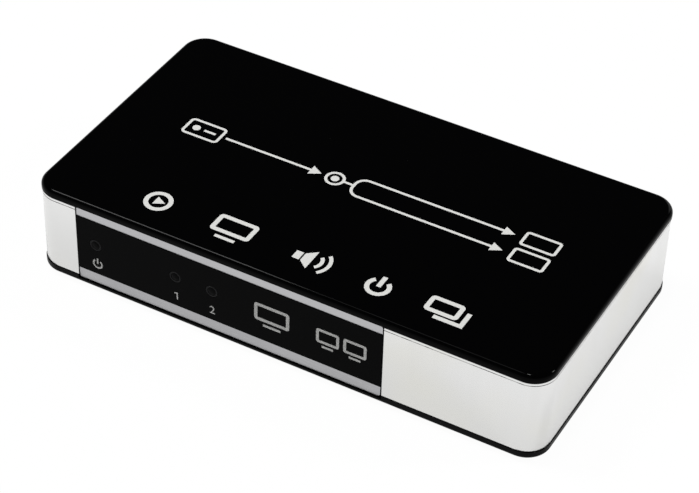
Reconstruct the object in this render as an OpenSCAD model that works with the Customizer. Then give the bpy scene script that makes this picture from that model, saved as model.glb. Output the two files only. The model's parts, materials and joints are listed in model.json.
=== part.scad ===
// Video splitter box: one video input copied to two video outputs.
// The front looks towards -Y, +X is to the right seen from the front and +Z is up.
// The origin lies under the middle of the case, on the surface that the feet stand on.
// All sizes are in millimetres.

/* [Case] */
// Length of the case, left to right
case_l = 110; // [104:1:130]
// Depth of the case, front to back
case_w = 60; // [56:1:80]
// Radius of the case's upright corners
corner_r = 5; // [3:0.5:8]
// Height of the silver band
band_h = 17.1; // [15.5:0.1:22]
// Thickness of the band's wall
band_t = 1.6; // [1.4:0.1:2.2]
// How far the band stands back from the edges of the cover and the base
band_inset = 0.15; // [0.05:0.05:0.5]
// Thickness of the top cover
cover_t = 1.65; // [1.3:0.05:2.5]
// Thickness of the base plate
base_t = 1.7; // [1.5:0.05:2.5]
// Rounding of the cover's upper edge
cover_edge_r = 0.6; // [0.3:0.1:1]
// Rounding of the base plate's lower edge
base_edge_r = 0.8; // [0.3:0.1:1.1]
// Height of the rims on cover and base that locate the band
rim_h = 2; // [1:0.1:2.5]
// Thickness of those rims
rim_t = 1.2; // [0.8:0.1:1.6]
// Clearance between pieces that slide together
slide_gap = 0.2; // [0.1:0.05:0.3]

/* [Screws and feet] */
// Distance from the case's ends to the screws
screw_inset_l = 8.5; // [8:0.5:9.5]
// Distance from the case's front and back to the screws
screw_inset_w = 10.5; // [9:0.5:11.5]
// Diameter of the base plate's posts under the board
post_d = 6.4; // [6:0.1:7]
// Diameter of the cover's bosses above the board
boss_d = 6; // [5:0.1:6.5]
// Diameter of the screws
screw_d = 2.6; // [2:0.1:3]
// Length of screw inside the cover's boss
screw_bite = 7; // [4:0.5:9]
// Depth of the boss's hole past the end of the screw
screw_spare = 1; // [0.5:0.1:1.5]
// Diameter of the screw heads
screw_head_d = 4.4; // [4:0.1:4.8]
// Height of the screw heads
screw_head_h = 1.6; // [1.2:0.1:1.8]
// How far the screw heads lie inside the base plate
screw_sink = 0.6; // [0.2:0.1:0.8]
// Radial clearance round screws, legs and leads that pass through a hole
hole_gap = 0.2; // [0.1:0.05:0.3]
// Radial clearance between a screw and the hole that it grips
thread_gap = 0.05; // [0.02:0.01:0.1]
// Length of each arm of the cross in the screw heads
drive_l = 1.2; // [0.9:0.1:1.5]
// Width of the arms of that cross
drive_w = 0.6; // [0.4:0.1:0.8]
// Depth of that cross
drive_h = 0.9; // [0.5:0.1:1]
// Diameter of the rubber feet
foot_d = 8; // [6:0.5:10]
// How far the feet stand out of the base plate
foot_out = 0.8; // [0.5:0.1:2]
// How deep the feet sit in the base plate
foot_seat = 0.5; // [0.3:0.1:0.8]
// Distance from the case's ends to the feet
foot_inset_l = 21; // [19:0.5:30]
// Distance from the case's front and back to the feet
foot_inset_w = 9; // [8:0.5:12]

/* [Front label] */
// Distance from the case's left end to the front plate
label_inset = 10.05; // [8:0.05:12]
// Length of the front plate
label_l = 67.1; // [60:0.1:75]
// Thickness of the front plate
plate_t = 0.5; // [0.3:0.05:0.55]
// Depth of the band's recess for the front plate
plate_recess = 0.7; // [0.65:0.05:0.9]
// Gap round the front plate
plate_gap = 0.2; // [0.05:0.05:0.3]
// How far the front plate reaches down over the base's edge
plate_drop = 0.5; // [0:0.05:0.6]
// Radius of the front plate's corners
plate_r = 0.6; // [0.2:0.1:1]
// Thickness of the black film
film_t = 0.12; // [0.05:0.01:0.15]
// Width of the stripe of plate that shows above the film
stripe_top = 1.95; // [1:0.05:2.5]
// Width of the stripe of plate that shows below the film
stripe_bottom = 2.5; // [1:0.05:3]
// Distance from the top of the band down to the indicators
lamp_drop = 8; // [6:0.1:9]
// Distance from the plate's left end to the power indicator
lamp_power_at = 4.25; // [3.5:0.05:6]
// Distance from the plate's left end to the indicator of output 1
lamp_1_at = 22.4; // [18:0.1:24]
// Distance from the plate's left end to the indicator of output 2
lamp_2_at = 30.55; // [29:0.05:40]
// Diameter of the indicator lenses
lens_d = 2.5; // [2:0.1:3]
// Diameter of the lens flange behind the front plate
lens_flange_d = 3.4; // [3.2:0.1:4]
// Radial clearance round the lenses
lens_gap = 0.06; // [0.03:0.01:0.1]

/* [Indicator lamps] */
// Diameter of the lamps
lamp_d = 3; // [2.5:0.1:3.2]
// Length of the lamps, dome and flange included
lamp_l = 5.3; // [4.5:0.1:6]
// Diameter of the lamp flange
lamp_flange_d = 3.8; // [3.4:0.1:4.2]
// Thickness of the lamp flange
lamp_flange_t = 1; // [0.6:0.1:1.4]
// Gap between a lamp and its lens
lamp_gap = 0.1; // [0.05:0.05:0.3]
// Diameter of the lamp leads
lead_d = 0.5; // [0.4:0.05:0.6]
// Distance between the two leads of a lamp
lead_pitch = 2.54; // [2:0.02:2.6]
// Width of a lamp holder
holder_w = 4.2; // [4:0.1:4.6]
// Length of a lamp holder, front to back
holder_l = 4; // [3:0.1:5]
// Distance from a lamp's flange back to where its leads turn down
lead_bend = 2.2; // [1.5:0.1:2.6]

/* [Rear panel] */
// Distance from the case's ends to the rear opening
rear_inset = 9; // [8:0.5:10]
// Height of the band left above and below the rear opening
rear_sill = 1.8; // [1.6:0.1:2.4]
// How far the panel's flange laps behind the band
panel_lap = 1.2; // [0.8:0.1:1.4]
// Thickness of the panel's flange
panel_flange_t = 1.2; // [0.8:0.1:1.6]
// How far the panel's face lies behind the band's outer face
panel_setback = 0.3; // [0.1:0.05:0.6]

/* [Video sockets] */
// Distance from the case's right end to the socket of output 2
socket_inset = 21.5; // [21:0.5:24]
// Distance between neighbouring sockets
socket_pitch = 22.5; // [18:0.5:24]
// Width of a socket's opening
socket_w = 14; // [13:0.1:15]
// Height of a socket's opening
socket_h = 4.55; // [4.3:0.05:5]
// Height of the opening's upright sides
socket_side_h = 2.6; // [2.2:0.1:3]
// Width of the opening's lower edge
socket_foot_w = 10.2; // [9:0.1:11]
// Thickness of the shell's sheet
shell_t = 0.3; // [0.2:0.05:0.4]
// Length of the shell
shell_l = 11; // [10:0.1:12]
// How far the sockets stand out of the rear panel
socket_out = 0.2; // [0:0.05:0.4]
// Gap between the rear panel and the sockets
socket_gap = 0.4; // [0.2:0.05:0.6]
// Gap between a shell and its insulator
insulator_gap = 0.05; // [0.02:0.01:0.1]
// Length of the insulator's block at the back of the shell
block_l = 3; // [2:0.1:4]
// Width of the insulator's tongue
tongue_w = 10.8; // [10.2:0.1:11.5]
// Thickness of the tongue
tongue_t = 1.2; // [1:0.05:1.4]
// Distance from the top of the opening down to the tongue
tongue_drop = 1.3; // [1.1:0.05:1.6]
// Distance from the mouth back to the tip of the tongue
tongue_back = 0.9; // [0.5:0.1:1.5]
// Number of contacts, which lie above and below the tongue in turn
contact_count = 19; // [9:2:19]
// Distance between neighbouring contacts
contact_pitch = 0.5; // [0.45:0.01:0.52]
// Width of a contact
contact_w = 0.34; // [0.25:0.01:0.38]
// Thickness of a contact
contact_t = 0.18; // [0.12:0.01:0.22]
// Distance from the tongue's tip back to the contacts
contact_back = 0.5; // [0.3:0.1:1]
// Distance from the back of the shell to where the contacts turn down
contact_bend = 0.5; // [0.3:0.1:0.8]
// Length of the contacts' soldered feet
contact_foot = 1; // [0.6:0.1:1.4]
// Width of the shell's legs
leg_w = 1.4; // [1:0.1:1.8]
// How far legs and terminals come out under the board
leg_out = 0.8; // [0.4:0.1:1.2]
// Distance from the mouth back to the middle of the front legs
leg_front = 4.5; // [4.2:0.1:5.5]
// Distance from the mouth back to the middle of the rear legs
leg_rear = 9.5; // [8:0.1:10]

/* [Power inlet] */
// Distance from the case's left end to the power inlet
jack_inset = 19; // [18.5:0.5:20]
// Width of the inlet's housing
jack_w = 9; // [8.5:0.1:9.5]
// Length of the housing behind the rear panel
jack_l = 13; // [12.5:0.1:14]
// Height of the housing
jack_h = 9; // [8.8:0.1:9.8]
// Height of the inlet's axis above the board
jack_axis_h = 4.8; // [4.7:0.1:5]
// Diameter of the housing's round nose
jack_nose_d = 8; // [7.6:0.1:8.4]
// Diameter of the bore for the plug
jack_bore_d = 6.3; // [6:0.1:6.4]
// Depth of that bore
jack_bore_l = 9; // [8:0.1:9.5]
// Gap between the rear panel and the housing
jack_gap = 0.3; // [0.15:0.05:0.5]
// Diameter of the centre pin
pin_d = 2; // [1.6:0.05:2.5]
// Diameter of the pin's shank inside the housing
pin_shank_d = 1.5; // [1:0.05:1.55]
// Distance from the nose's face back to the tip of the pin
pin_back = 0.6; // [0.3:0.1:1.5]
// Diameter at the tip of the pin
pin_tip_d = 1; // [0.6:0.1:1.4]
// Length of the pin's tapered tip
pin_taper = 0.5; // [0.3:0.1:0.8]
// Width of the contact blade
blade_w = 3; // [2.6:0.1:3.2]
// Thickness of the sheet of blade and terminals
blade_t = 0.25; // [0.2:0.01:0.3]
// Length of the blade from its tip to its bend
blade_l = 8; // [7:0.1:8.4]
// Distance from the nose's face back to the tip of the blade
blade_back = 4.05; // [3.9:0.05:4.4]
// How far the blade's hump stands into the bore
blade_lift = 0.45; // [0.3:0.05:0.6]
// How far the flat of the blade lies under the bore's wall
blade_drop = 0.35; // [0.3:0.05:0.4]
// Length of the hump along the blade
hump_l = 3; // [2.4:0.1:3.4]
// Length of the flat on top of the hump
hump_top = 0.6; // [0.3:0.1:1]
// Half the gap at the blade's bend
bend_gap = 0.05; // [0.03:0.01:0.08]
// Gap between the blade at rest and its switch contact
rest_gap = 0.06; // [0.03:0.01:0.1]
// Distance from the blade's tip back to the switch contact
switch_back = 0.2; // [0.1:0.05:0.4]
// Length of the switch contact along the blade
switch_l = 0.7; // [0.5:0.1:0.8]
// How far the switch contact reaches over the blade
switch_reach = 1; // [0.5:0.1:1.2]
// Room beside and above the blade inside the housing
blade_room = 0.3; // [0.2:0.05:0.4]
// Length of the blade's terminal behind the bend
terminal_l = 1.1; // [0.8:0.1:1.2]

/* [Circuit board] */
// Thickness of the board
board_t = 1.6; // [1:0.1:2]
// Height of the posts that carry the board
standoff_h = 3; // [2.8:0.1:4]
// Gap between the board and the band
board_gap = 1; // [0.5:0.1:1.4]
// Gap between the board and the rear panel
board_rear_gap = 0.4; // [0.2:0.05:0.6]
// Width of the square splitter chip
chip_w = 12; // [9:0.5:14]
// Thickness of the splitter chip
chip_t = 1; // [0.8:0.1:1.4]
// Thickness of the thermal pad
pad_t = 0.5; // [0.3:0.1:1]
// Width of the square heat sink
sink_w = 16; // [14:0.5:18]
// Thickness of the heat sink's base
sink_base_t = 1.5; // [1:0.1:2]
// Height of the heat sink's fins
fin_h = 4.5; // [3:0.1:6]
// Thickness of the fins
fin_t = 0.8; // [0.6:0.1:1]
// Number of fins
fin_count = 6; // [4:1:7]
// Length of the control chip
control_l = 6.5; // [6:0.1:8]
// Length of the memory chip and of the switching regulator
small_chip_l = 4.9; // [4.5:0.1:5.5]
// Width of the leaded chips
small_chip_w = 3.9; // [3.5:0.1:4.5]
// Height of the leaded chips
small_chip_h = 1.5; // [1:0.1:1.8]
// Reach of the leaded chips' leads
gull_l = 1.1; // [0.8:0.1:1.3]
// Distance from a chip's side to where its leads turn down
gull_knee = 0.45; // [0.3:0.05:0.6]
// Thickness of those leads
gull_t = 0.15; // [0.1:0.01:0.2]
// Number of leads on each side of the control chip
control_lead_count = 10; // [6:1:10]
// Width of the control chip's leads
control_lead_w = 0.25; // [0.2:0.01:0.35]
// Distance between neighbouring leads of the control chip
control_lead_pitch = 0.65; // [0.5:0.01:0.65]
// Number of leads on each side of the small chips
small_lead_count = 4; // [3:1:4]
// Width of the small chips' leads
small_lead_w = 0.42; // [0.3:0.01:0.6]
// Distance between neighbouring leads of the small chips
small_lead_pitch = 1.27; // [1:0.01:1.3]
// Length of the linear regulator
linear_l = 6.5; // [6:0.1:7]
// Number of leads on each side of the linear regulator
linear_lead_count = 3; // [2:1:3]
// Distance between neighbouring leads of the linear regulator
linear_lead_pitch = 2.3; // [2:0.05:2.5]
// Length of the crystal's can
crystal_l = 11; // [10:0.1:12]
// Width of the crystal's can
crystal_w = 4.6; // [4:0.1:5]
// Height of the crystal's can
crystal_h = 3.4; // [3:0.1:4]
// Width of the crystal's foot all round
crystal_flange = 0.4; // [0.2:0.1:0.6]
// Width of the square inductor
coil_w = 6.4; // [5:0.1:7]
// Height of the inductor
coil_h = 3; // [2:0.1:4]
// Radius of the inductor's corners
coil_r = 1.6; // [1:0.1:2]
// Diameter of the filter capacitors
can_d = 6.3; // [5:0.1:6.5]
// Height of the filter capacitors
can_h = 7.6; // [5:0.1:8]
// Width of the capacitors' square foot
can_foot_w = 6.6; // [6.5:0.1:7]
// Height of the capacitors' square foot
can_foot_h = 0.8; // [0.5:0.1:1]
// Length of the small chip capacitors and resistors
chip_part_l = 1.6; // [1:0.1:2]
// Width of the small chip capacitors and resistors
chip_part_w = 0.8; // [0.5:0.1:1.2]
// Number of chip capacitors in front of the heat sink
capacitor_count = 8; // [4:1:8]
// Height of the chip capacitors
chip_capacitor_h = 0.8; // [0.5:0.1:1]
// Height of the chip resistors
chip_resistor_h = 0.5; // [0.3:0.1:0.6]
// Length of a surge array
array_l = 2.5; // [2:0.1:3]
// Width of a surge array
array_w = 1; // [0.8:0.1:1.4]
// Height of a surge array
array_h = 0.6; // [0.5:0.1:0.8]
// Least room between neighbouring components on the board
part_room = 1.2; // [1:0.1:1.4]

/* [Hidden] */
$fn = 48;

// Cutters run past the faces that they cut by this much
past = 1;

// Heights above the surface that the feet stand on
base_z = foot_out;
band_z = base_z + base_t;
cover_z = band_z + band_h;
board_z = band_z + standoff_h;
board_top_z = board_z + board_t;
lamp_z = cover_z - lamp_drop;

// Band: outer and inner size, and the planes of its front and rear walls
band_l = case_l - 2 * band_inset;
band_w = case_w - 2 * band_inset;
band_r = corner_r - band_inset;
band_in_l = band_l - 2 * band_t;
band_in_w = band_w - 2 * band_t;
band_in_r = max(band_r - band_t, slide_gap + rim_t / 4);
band_out_y = band_w / 2;
band_in_y = band_in_w / 2;

// Rims of cover and base, inside the band
rim_l = band_in_l - 2 * slide_gap;
rim_w = band_in_w - 2 * slide_gap;
rim_r = band_in_r - slide_gap;

// Front plate, film and indicators
label_left = -case_l / 2 + label_inset;
label_x = label_left + label_l / 2;
plate_back_y = -band_out_y + plate_recess;
film_back_y = plate_back_y - plate_t;
plate_z = band_z - plate_drop;
plate_h = cover_z - plate_gap - plate_z;
film_h = plate_h - stripe_top - stripe_bottom;
film_z = plate_z + stripe_bottom + film_h / 2;
lamp_power_x = label_left + lamp_power_at;
lamp_1_x = label_left + lamp_1_at;
lamp_2_x = label_left + lamp_2_at;
lamp_xs = [lamp_power_x, lamp_1_x, lamp_2_x];
lamp_tip_y = -band_in_y + lamp_gap;
lamp_back_y = lamp_tip_y + lamp_l;
lead_y = lamp_back_y + lead_bend;
lead_slot_z = lamp_z + lead_d / 2 + hole_gap;

// Rear opening and rear panel
rear_l = case_l - 2 * rear_inset;
rear_h = band_h - 2 * rear_sill;
panel_z = band_z + band_h / 2;
panel_out_y = band_out_y - panel_setback;
panel_in_y = band_in_y - panel_flange_t;
panel_t = panel_out_y - panel_in_y;
flange_l = rear_l + 2 * panel_lap;
flange_h = rear_h + 2 * panel_lap;

// Video sockets: their places along the rear panel and their mouth
output_2_x = case_l / 2 - socket_inset;
output_1_x = output_2_x - socket_pitch;
input_x = output_1_x - socket_pitch;
socket_xs = [input_x, output_1_x, output_2_x];
socket_y = panel_out_y + socket_out;
tongue_top = shell_t + socket_h - tongue_drop;
tongue_under = tongue_top - tongue_t;
tail_y = -shell_l - contact_bend - contact_foot;

// Power inlet: distances back from the face of its nose, heights above the board
jack_x = -case_l / 2 + jack_inset;
jack_front = panel_t + jack_gap;
jack_back = jack_front + jack_l;
bore_floor_z = jack_axis_h - jack_bore_d / 2;
blade_top = bore_floor_z - blade_drop;
bend_at = blade_back + blade_l;
switch_at = blade_back + switch_back;
hump_start = switch_at + switch_l + blade_room;
hump_mid = hump_start + hump_l / 2;
hump_top_z = bore_floor_z + blade_lift;
switch_side = blade_w / 2 + blade_room;
blade_slot_w = 2 * (switch_side + blade_t + blade_room);
terminal_end = bend_at + bend_gap + terminal_l;

// Circuit board: its edges
board_l = band_in_l - 2 * board_gap;
board_front_y = -band_in_y + board_gap;
board_rear_y = panel_in_y - board_rear_gap;
board_w = board_rear_y - board_front_y;
board_y = (board_rear_y + board_front_y) / 2;
board_r = max(band_in_r - board_gap, board_gap / 2);

// Places of the components, as [x, y] on the board
chip_at = [output_1_x, board_y];
array_y = socket_y + tail_y - part_room - array_w / 2;
capacitor_y = chip_at[1] - sink_w / 2 - part_room - chip_part_l / 2;
capacitor_pitch = chip_part_w + part_room;
control_at = [input_x, board_y - small_chip_w];
memory_at = [input_x, control_at[1] + small_chip_w + 2 * gull_l + part_room];
crystal_at = [chip_at[0] + sink_w / 2 + part_room + crystal_flange + crystal_l / 2, board_y];
inlet_back_y = panel_out_y - jack_back - blade_t;
can_y = inlet_back_y - part_room - can_foot_w / 2;
can_xs = [jack_x - (can_foot_w + part_room) / 2, jack_x + (can_foot_w + part_room) / 2];
coil_at = [jack_x + (coil_w + part_room) / 2, can_y - can_foot_w / 2 - part_room - coil_w / 2];
switching_at = [coil_at[0] - coil_w / 2 - part_room - small_chip_l / 2, coil_at[1]];
linear_at = [jack_x, coil_at[1] - coil_w / 2 - part_room - gull_l - small_chip_w / 2];
lamp_resistor_y = lamp_back_y + holder_l + part_room + chip_part_l / 2;

// General shapes

// Rectangle with round corners, centred
module rounded_rect(l, w, r) {
    square([l - 2 * r, w], center = true);
    square([l, w - 2 * r], center = true);
    for (x = [-1, 1], y = [-1, 1])
        translate([x * (l / 2 - r), y * (w / 2 - r)]) circle(r);
}

// Section of a plate whose two upper edges are rounded
module edge_section(l, t, e) {
    translate([-l / 2, 0]) square([l, t - e]);
    translate([-l / 2 + e, 0]) square([l - 2 * e, t]);
    for (s = [-1, 1]) translate([s * (l / 2 - e), t - e]) circle(e);
}

// Plate with round corners and a rounded upper edge, standing on z = 0
module rounded_plate(l, w, r, t, e) {
    rotate([90, 0, 90]) linear_extrude(l - 2 * r, center = true) edge_section(w, t, e);
    rotate([90, 0, 0]) linear_extrude(w - 2 * r, center = true) edge_section(l, t, e);
    for (x = [-1, 1], y = [-1, 1])
        translate([x * (l / 2 - r), y * (w / 2 - r), 0])
            rotate_extrude() {
                square([r, t - e]);
                square([r - e, t]);
                translate([r - e, t - e]) circle(e);
            }
}

// Upright slab: the outline lies in x and z, and the slab reaches from back_y towards -Y
module upright(back_y, t) {
    translate([0, back_y, 0]) rotate([90, 0, 0]) linear_extrude(t) children();
}

// Round rod along Y, from y0 up to y1
module rod(d, y0, y1) {
    translate([0, y1, 0]) rotate([90, 0, 0]) cylinder(d = d, h = y1 - y0);
}

// Strip bent in the y and z plane and w wide along X, centred
module bent_strip(points, w) {
    rotate([90, 0, 90]) linear_extrude(w, center = true) polygon(points);
}

// Box from its middle in x and y and its two heights
module block(l, w, z0, z1) {
    translate([-l / 2, -w / 2, z0]) cube([l, w, z1 - z0]);
}

module at_screws() {
    for (x = [-1, 1], y = [-1, 1])
        translate([x * (case_l / 2 - screw_inset_l), y * (case_w / 2 - screw_inset_w), 0]) children();
}

module at_feet() {
    for (x = [-1, 1], y = [-1, 1])
        translate([x * (case_l / 2 - foot_inset_l), y * (case_w / 2 - foot_inset_w), 0]) children();
}

module at_socket(x) {
    translate([x, socket_y, board_top_z]) children();
}

module at_jack() {
    translate([jack_x, panel_out_y, board_top_z]) children();
}

module on_board(at) {
    translate([at[0], at[1], board_top_z]) children();
}

// Case

// Rim that stands inside the band, open where the rear panel's flange is
module rim(h) {
    difference() {
        linear_extrude(h) difference() {
            rounded_rect(rim_l, rim_w, rim_r);
            rounded_rect(rim_l - 2 * rim_t, rim_w - 2 * rim_t, max(rim_r - rim_t, rim_r / 4));
        }
        translate([-flange_l / 2 - slide_gap, panel_in_y - slide_gap, -past])
            cube([flange_l + 2 * slide_gap, panel_flange_t + past, h + 2 * past]);
    }
}

module top_cover() color("#0c0c0e") difference() {
    union() {
        translate([0, 0, cover_z]) rounded_plate(case_l, case_w, corner_r, cover_t, cover_edge_r);
        translate([0, 0, cover_z - rim_h]) rim(rim_h + cover_t / 2);
        at_screws() translate([0, 0, board_top_z])
            cylinder(d = boss_d, h = cover_z - board_top_z + cover_t / 2);
    }
    at_screws() translate([0, 0, board_top_z - past])
        cylinder(d = screw_d + 2 * thread_gap, h = past + screw_bite + screw_spare);
}

// Room for the front plate in the band's front and in the base's edge
module label_notch(z0, z1) {
    translate([label_left - plate_gap, -case_w / 2 - past, z0])
        cube([label_l + 2 * plate_gap, case_w / 2 + past + plate_back_y, z1 - z0]);
}

module side_band() color("#dcdcda") difference() {
    translate([0, 0, band_z]) linear_extrude(band_h) difference() {
        rounded_rect(band_l, band_w, band_r);
        rounded_rect(band_in_l, band_in_w, band_in_r);
    }
    label_notch(band_z - past, cover_z + past);
    for (x = lamp_xs) translate([x, 0, lamp_z])
        rod(lens_flange_d + 2 * lens_gap, -band_out_y - past, -band_in_y + past);
    translate([0, 0, panel_z]) upright(band_out_y + past, band_t + 2 * past)
        square([rear_l, rear_h], center = true);
}

module base_plate() color("#111113") difference() {
    union() {
        translate([0, 0, band_z]) mirror([0, 0, 1])
            rounded_plate(case_l, case_w, corner_r, base_t, base_edge_r);
        translate([0, 0, band_z - base_t / 2]) rim(rim_h + base_t / 2);
        at_screws() translate([0, 0, band_z - base_t / 2]) cylinder(d = post_d, h = standoff_h + base_t / 2);
    }
    at_screws() {
        translate([0, 0, base_z - past])
            cylinder(d = screw_d + 2 * hole_gap, h = board_z - base_z + 2 * past);
        translate([0, 0, base_z - past])
            cylinder(d = screw_head_d + 2 * hole_gap, h = past + screw_sink + screw_head_h);
    }
    at_feet() translate([0, 0, base_z - past]) cylinder(d = foot_d + 2 * thread_gap, h = past + foot_seat);
    label_notch(plate_z - plate_gap, band_z + past);
}

module rubber_feet() color("#1c1c1c")
    at_feet() cylinder(d = foot_d, h = foot_out + foot_seat);

module case_screws() color("#8d8f92") at_screws() translate([0, 0, base_z + screw_sink]) difference() {
    union() {
        cylinder(d = screw_head_d, h = screw_head_h);
        cylinder(d = screw_d, h = board_top_z + screw_bite - base_z - screw_sink);
    }
    for (turn = [0, 90]) rotate(turn) block(2 * drive_l, drive_w, -past, drive_h);
}

// Front label and indicators

module lens_holes() {
    for (x = lamp_xs) translate([x, lamp_z]) circle(d = lens_d + 2 * lens_gap);
}

module front_plate() color("#b4b5b8") upright(plate_back_y, plate_t) difference() {
    translate([label_x, plate_z + plate_h / 2]) rounded_rect(label_l, plate_h, plate_r);
    lens_holes();
}

module front_film() color("#101012") upright(film_back_y, film_t) difference() {
    translate([label_x, film_z]) square([label_l, film_h], center = true);
    lens_holes();
}

module lens(x) color("#2b2b2d") translate([x, 0, lamp_z]) {
    rod(lens_d, film_back_y - film_t, plate_back_y + band_t / 4);
    rod(lens_flange_d, plate_back_y, -band_in_y);
}

module power_lens() lens(lamp_power_x);
module output_1_lens() lens(lamp_1_x);
module output_2_lens() lens(lamp_2_x);

module lamp(x) color("#e6e8ea") translate([x, 0, lamp_z]) {
    translate([0, lamp_tip_y + lamp_d / 2, 0]) sphere(d = lamp_d);
    rod(lamp_d, lamp_tip_y + lamp_d / 2, lamp_back_y);
    rod(lamp_flange_d, lamp_back_y - lamp_flange_t, lamp_back_y);
}

module power_lamp() lamp(lamp_power_x);
module output_1_lamp() lamp(lamp_1_x);
module output_2_lamp() lamp(lamp_2_x);

// Two leads per lamp, from its flange back and down through the board
module lamp_leads() color("#c9c9c6")
    for (x = lamp_xs, s = [-1, 1]) translate([x + s * lead_pitch / 2, 0, 0]) {
        translate([0, 0, lamp_z]) rod(lead_d, lamp_back_y, lead_y);
        translate([0, lead_y, lamp_z]) sphere(d = lead_d);
        translate([0, lead_y, board_z - leg_out]) cylinder(d = lead_d, h = lamp_z - board_z + leg_out);
    }

module lamp_holders() color("#1a1a1a")
    for (x = lamp_xs) translate([x, lamp_back_y + holder_l / 2, 0]) difference() {
        block(holder_w, holder_l, board_top_z, lamp_z + lamp_flange_d / 2);
        for (s = [-1, 1]) translate([s * lead_pitch / 2, 0, 0])
            block(lead_d + 2 * hole_gap, holder_l + 2 * past, board_top_z - past, lead_slot_z);
    }

// Rear panel

module rear_panel() color("#141416") difference() {
    union() {
        translate([0, 0, panel_z]) upright(panel_out_y, panel_t)
            square([rear_l - 2 * slide_gap, rear_h - 2 * slide_gap], center = true);
        translate([0, 0, panel_z]) upright(band_in_y, panel_flange_t)
            square([flange_l, flange_h], center = true);
    }
    for (x = socket_xs) translate([x, 0, board_top_z])
        upright(panel_out_y + past, panel_t + 2 * past) socket_outline(shell_t + socket_gap);
    translate([jack_x, 0, board_top_z + jack_axis_h])
        rod(jack_nose_d + 2 * jack_gap, panel_in_y - past, panel_out_y + past);
}

// Video sockets: y runs back from the mouth, z runs up from the board

// Outline of the opening, grown by g all round; its lower corners are cut off at a slant
module socket_outline(g) {
    rise = socket_h - socket_side_h;
    run = (socket_w - socket_foot_w) / 2;
    slant = norm([rise, run]);
    side_x = socket_w / 2 + g;
    side_z = rise - g * (slant - rise) / run;
    foot_x = socket_foot_w / 2 + g * (slant - run) / rise;
    translate([0, shell_t]) polygon([
        [-side_x, socket_h + g], [-side_x, side_z], [-foot_x, -g],
        [foot_x, -g], [side_x, side_z], [side_x, socket_h + g]
    ]);
}

module at_legs() {
    for (s = [-1, 1], back = [leg_front, leg_rear])
        translate([s * (socket_w + shell_t) / 2, -back, 0]) children();
}

module socket_shell(x) color("#c8c8c4") at_socket(x) {
    upright(0, shell_l) difference() {
        socket_outline(shell_t);
        socket_outline(0);
    }
    at_legs() block(shell_t, leg_w, -board_t - leg_out, shell_t + socket_h - socket_side_h / 2);
}

// Heights of the upper and lower rows of contacts on the tongue, row 0 and row 1
function contact_z(row) = row == 0 ? tongue_top : tongue_under;

module at_contacts() {
    for (i = [0 : contact_count - 1])
        translate([(i - (contact_count - 1) / 2) * contact_pitch, 0, contact_z(i % 2)]) children();
}

module socket_insulator(x) color("#161616") at_socket(x) difference() {
    union() {
        upright(block_l - shell_l, block_l) socket_outline(-insulator_gap);
        translate([-tongue_w / 2, -shell_l + block_l / 2, tongue_under])
            cube([tongue_w, shell_l - block_l / 2 - tongue_back, tongue_t]);
    }
    at_contacts() translate([-contact_w / 2, -shell_l - past, -contact_t / 2])
        cube([contact_w, shell_l + past - tongue_back - contact_back, contact_t]);
}

// One strip: along the tongue, through the block, down behind it and onto the board
module contact(row) {
    z = contact_z(row);
    tip = -tongue_back - contact_back;
    knee = -shell_l - contact_bend;
    bent_strip([
        [tip, z + contact_t / 2], [knee - contact_t, z + contact_t / 2],
        [knee - contact_t, contact_t], [tail_y, contact_t], [tail_y, 0],
        [knee, 0], [knee, z - contact_t / 2], [tip, z - contact_t / 2]
    ], contact_w);
}

module socket_contacts(x) color("#c9a24a") at_socket(x)
    for (i = [0 : contact_count - 1])
        translate([(i - (contact_count - 1) / 2) * contact_pitch, 0, 0]) contact(i % 2);

module input_shell() socket_shell(input_x);
module input_insulator() socket_insulator(input_x);
module input_contacts() socket_contacts(input_x);
module output_1_shell() socket_shell(output_1_x);
module output_1_insulator() socket_insulator(output_1_x);
module output_1_contacts() socket_contacts(output_1_x);
module output_2_shell() socket_shell(output_2_x);
module output_2_insulator() socket_insulator(output_2_x);
module output_2_contacts() socket_contacts(output_2_x);

// Power inlet: y runs back from the nose's face, z runs up from the board

module inlet_housing() color("#151515") at_jack() difference() {
    union() {
        translate([0, -jack_front - jack_l / 2, 0]) block(jack_w, jack_l, 0, jack_h);
        translate([0, 0, jack_axis_h]) rod(jack_nose_d, -jack_front - jack_l / 4, 0);
    }
    translate([0, 0, jack_axis_h]) rod(jack_bore_d, -jack_bore_l, past);
    translate([0, 0, jack_axis_h]) rod(pin_shank_d + 2 * thread_gap, -jack_back - past, -jack_bore_l + past);
    translate([-blade_slot_w / 2, -terminal_end - blade_room, -past])
        cube([blade_slot_w, terminal_end - blade_back + 2 * blade_room, past + hump_top_z + blade_room]);
}

// Centre pin: it stands on the floor of the bore, and its shank holds the terminal plate behind
module inlet_pin() color("#c8b27a") at_jack() {
    translate([0, -pin_back, jack_axis_h]) rotate([90, 0, 0])
        cylinder(d1 = pin_tip_d, d2 = pin_d, h = pin_taper);
    translate([0, 0, jack_axis_h]) rod(pin_d, -jack_bore_l, -pin_back - pin_taper);
    translate([0, 0, jack_axis_h]) rod(pin_shank_d, -jack_back - blade_t / 2, -jack_bore_l + pin_taper);
    translate([0, -jack_back - blade_t / 2, 0])
        block(blade_w, blade_t, -board_t - leg_out, jack_axis_h + pin_d);
}

// Contact blade with the hump that the plug's sleeve pushes down; it turns at its bend
module inlet_blade() color("#c9b98a") at_jack() {
    root = -bend_at + bend_gap;
    rise = hump_top_z - blade_top;
    upper = [
        [-blade_back, 0], [-hump_start, 0], [-hump_mid + hump_top / 2, rise],
        [-hump_mid - hump_top / 2, rise], [-hump_start - hump_l, 0], [root, 0]
    ];
    lower = [for (i = [len(upper) - 1 : -1 : 0]) upper[i] - [0, blade_t]];
    translate([0, 0, blade_top]) bent_strip(concat(upper, lower), blade_w);
}

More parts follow.
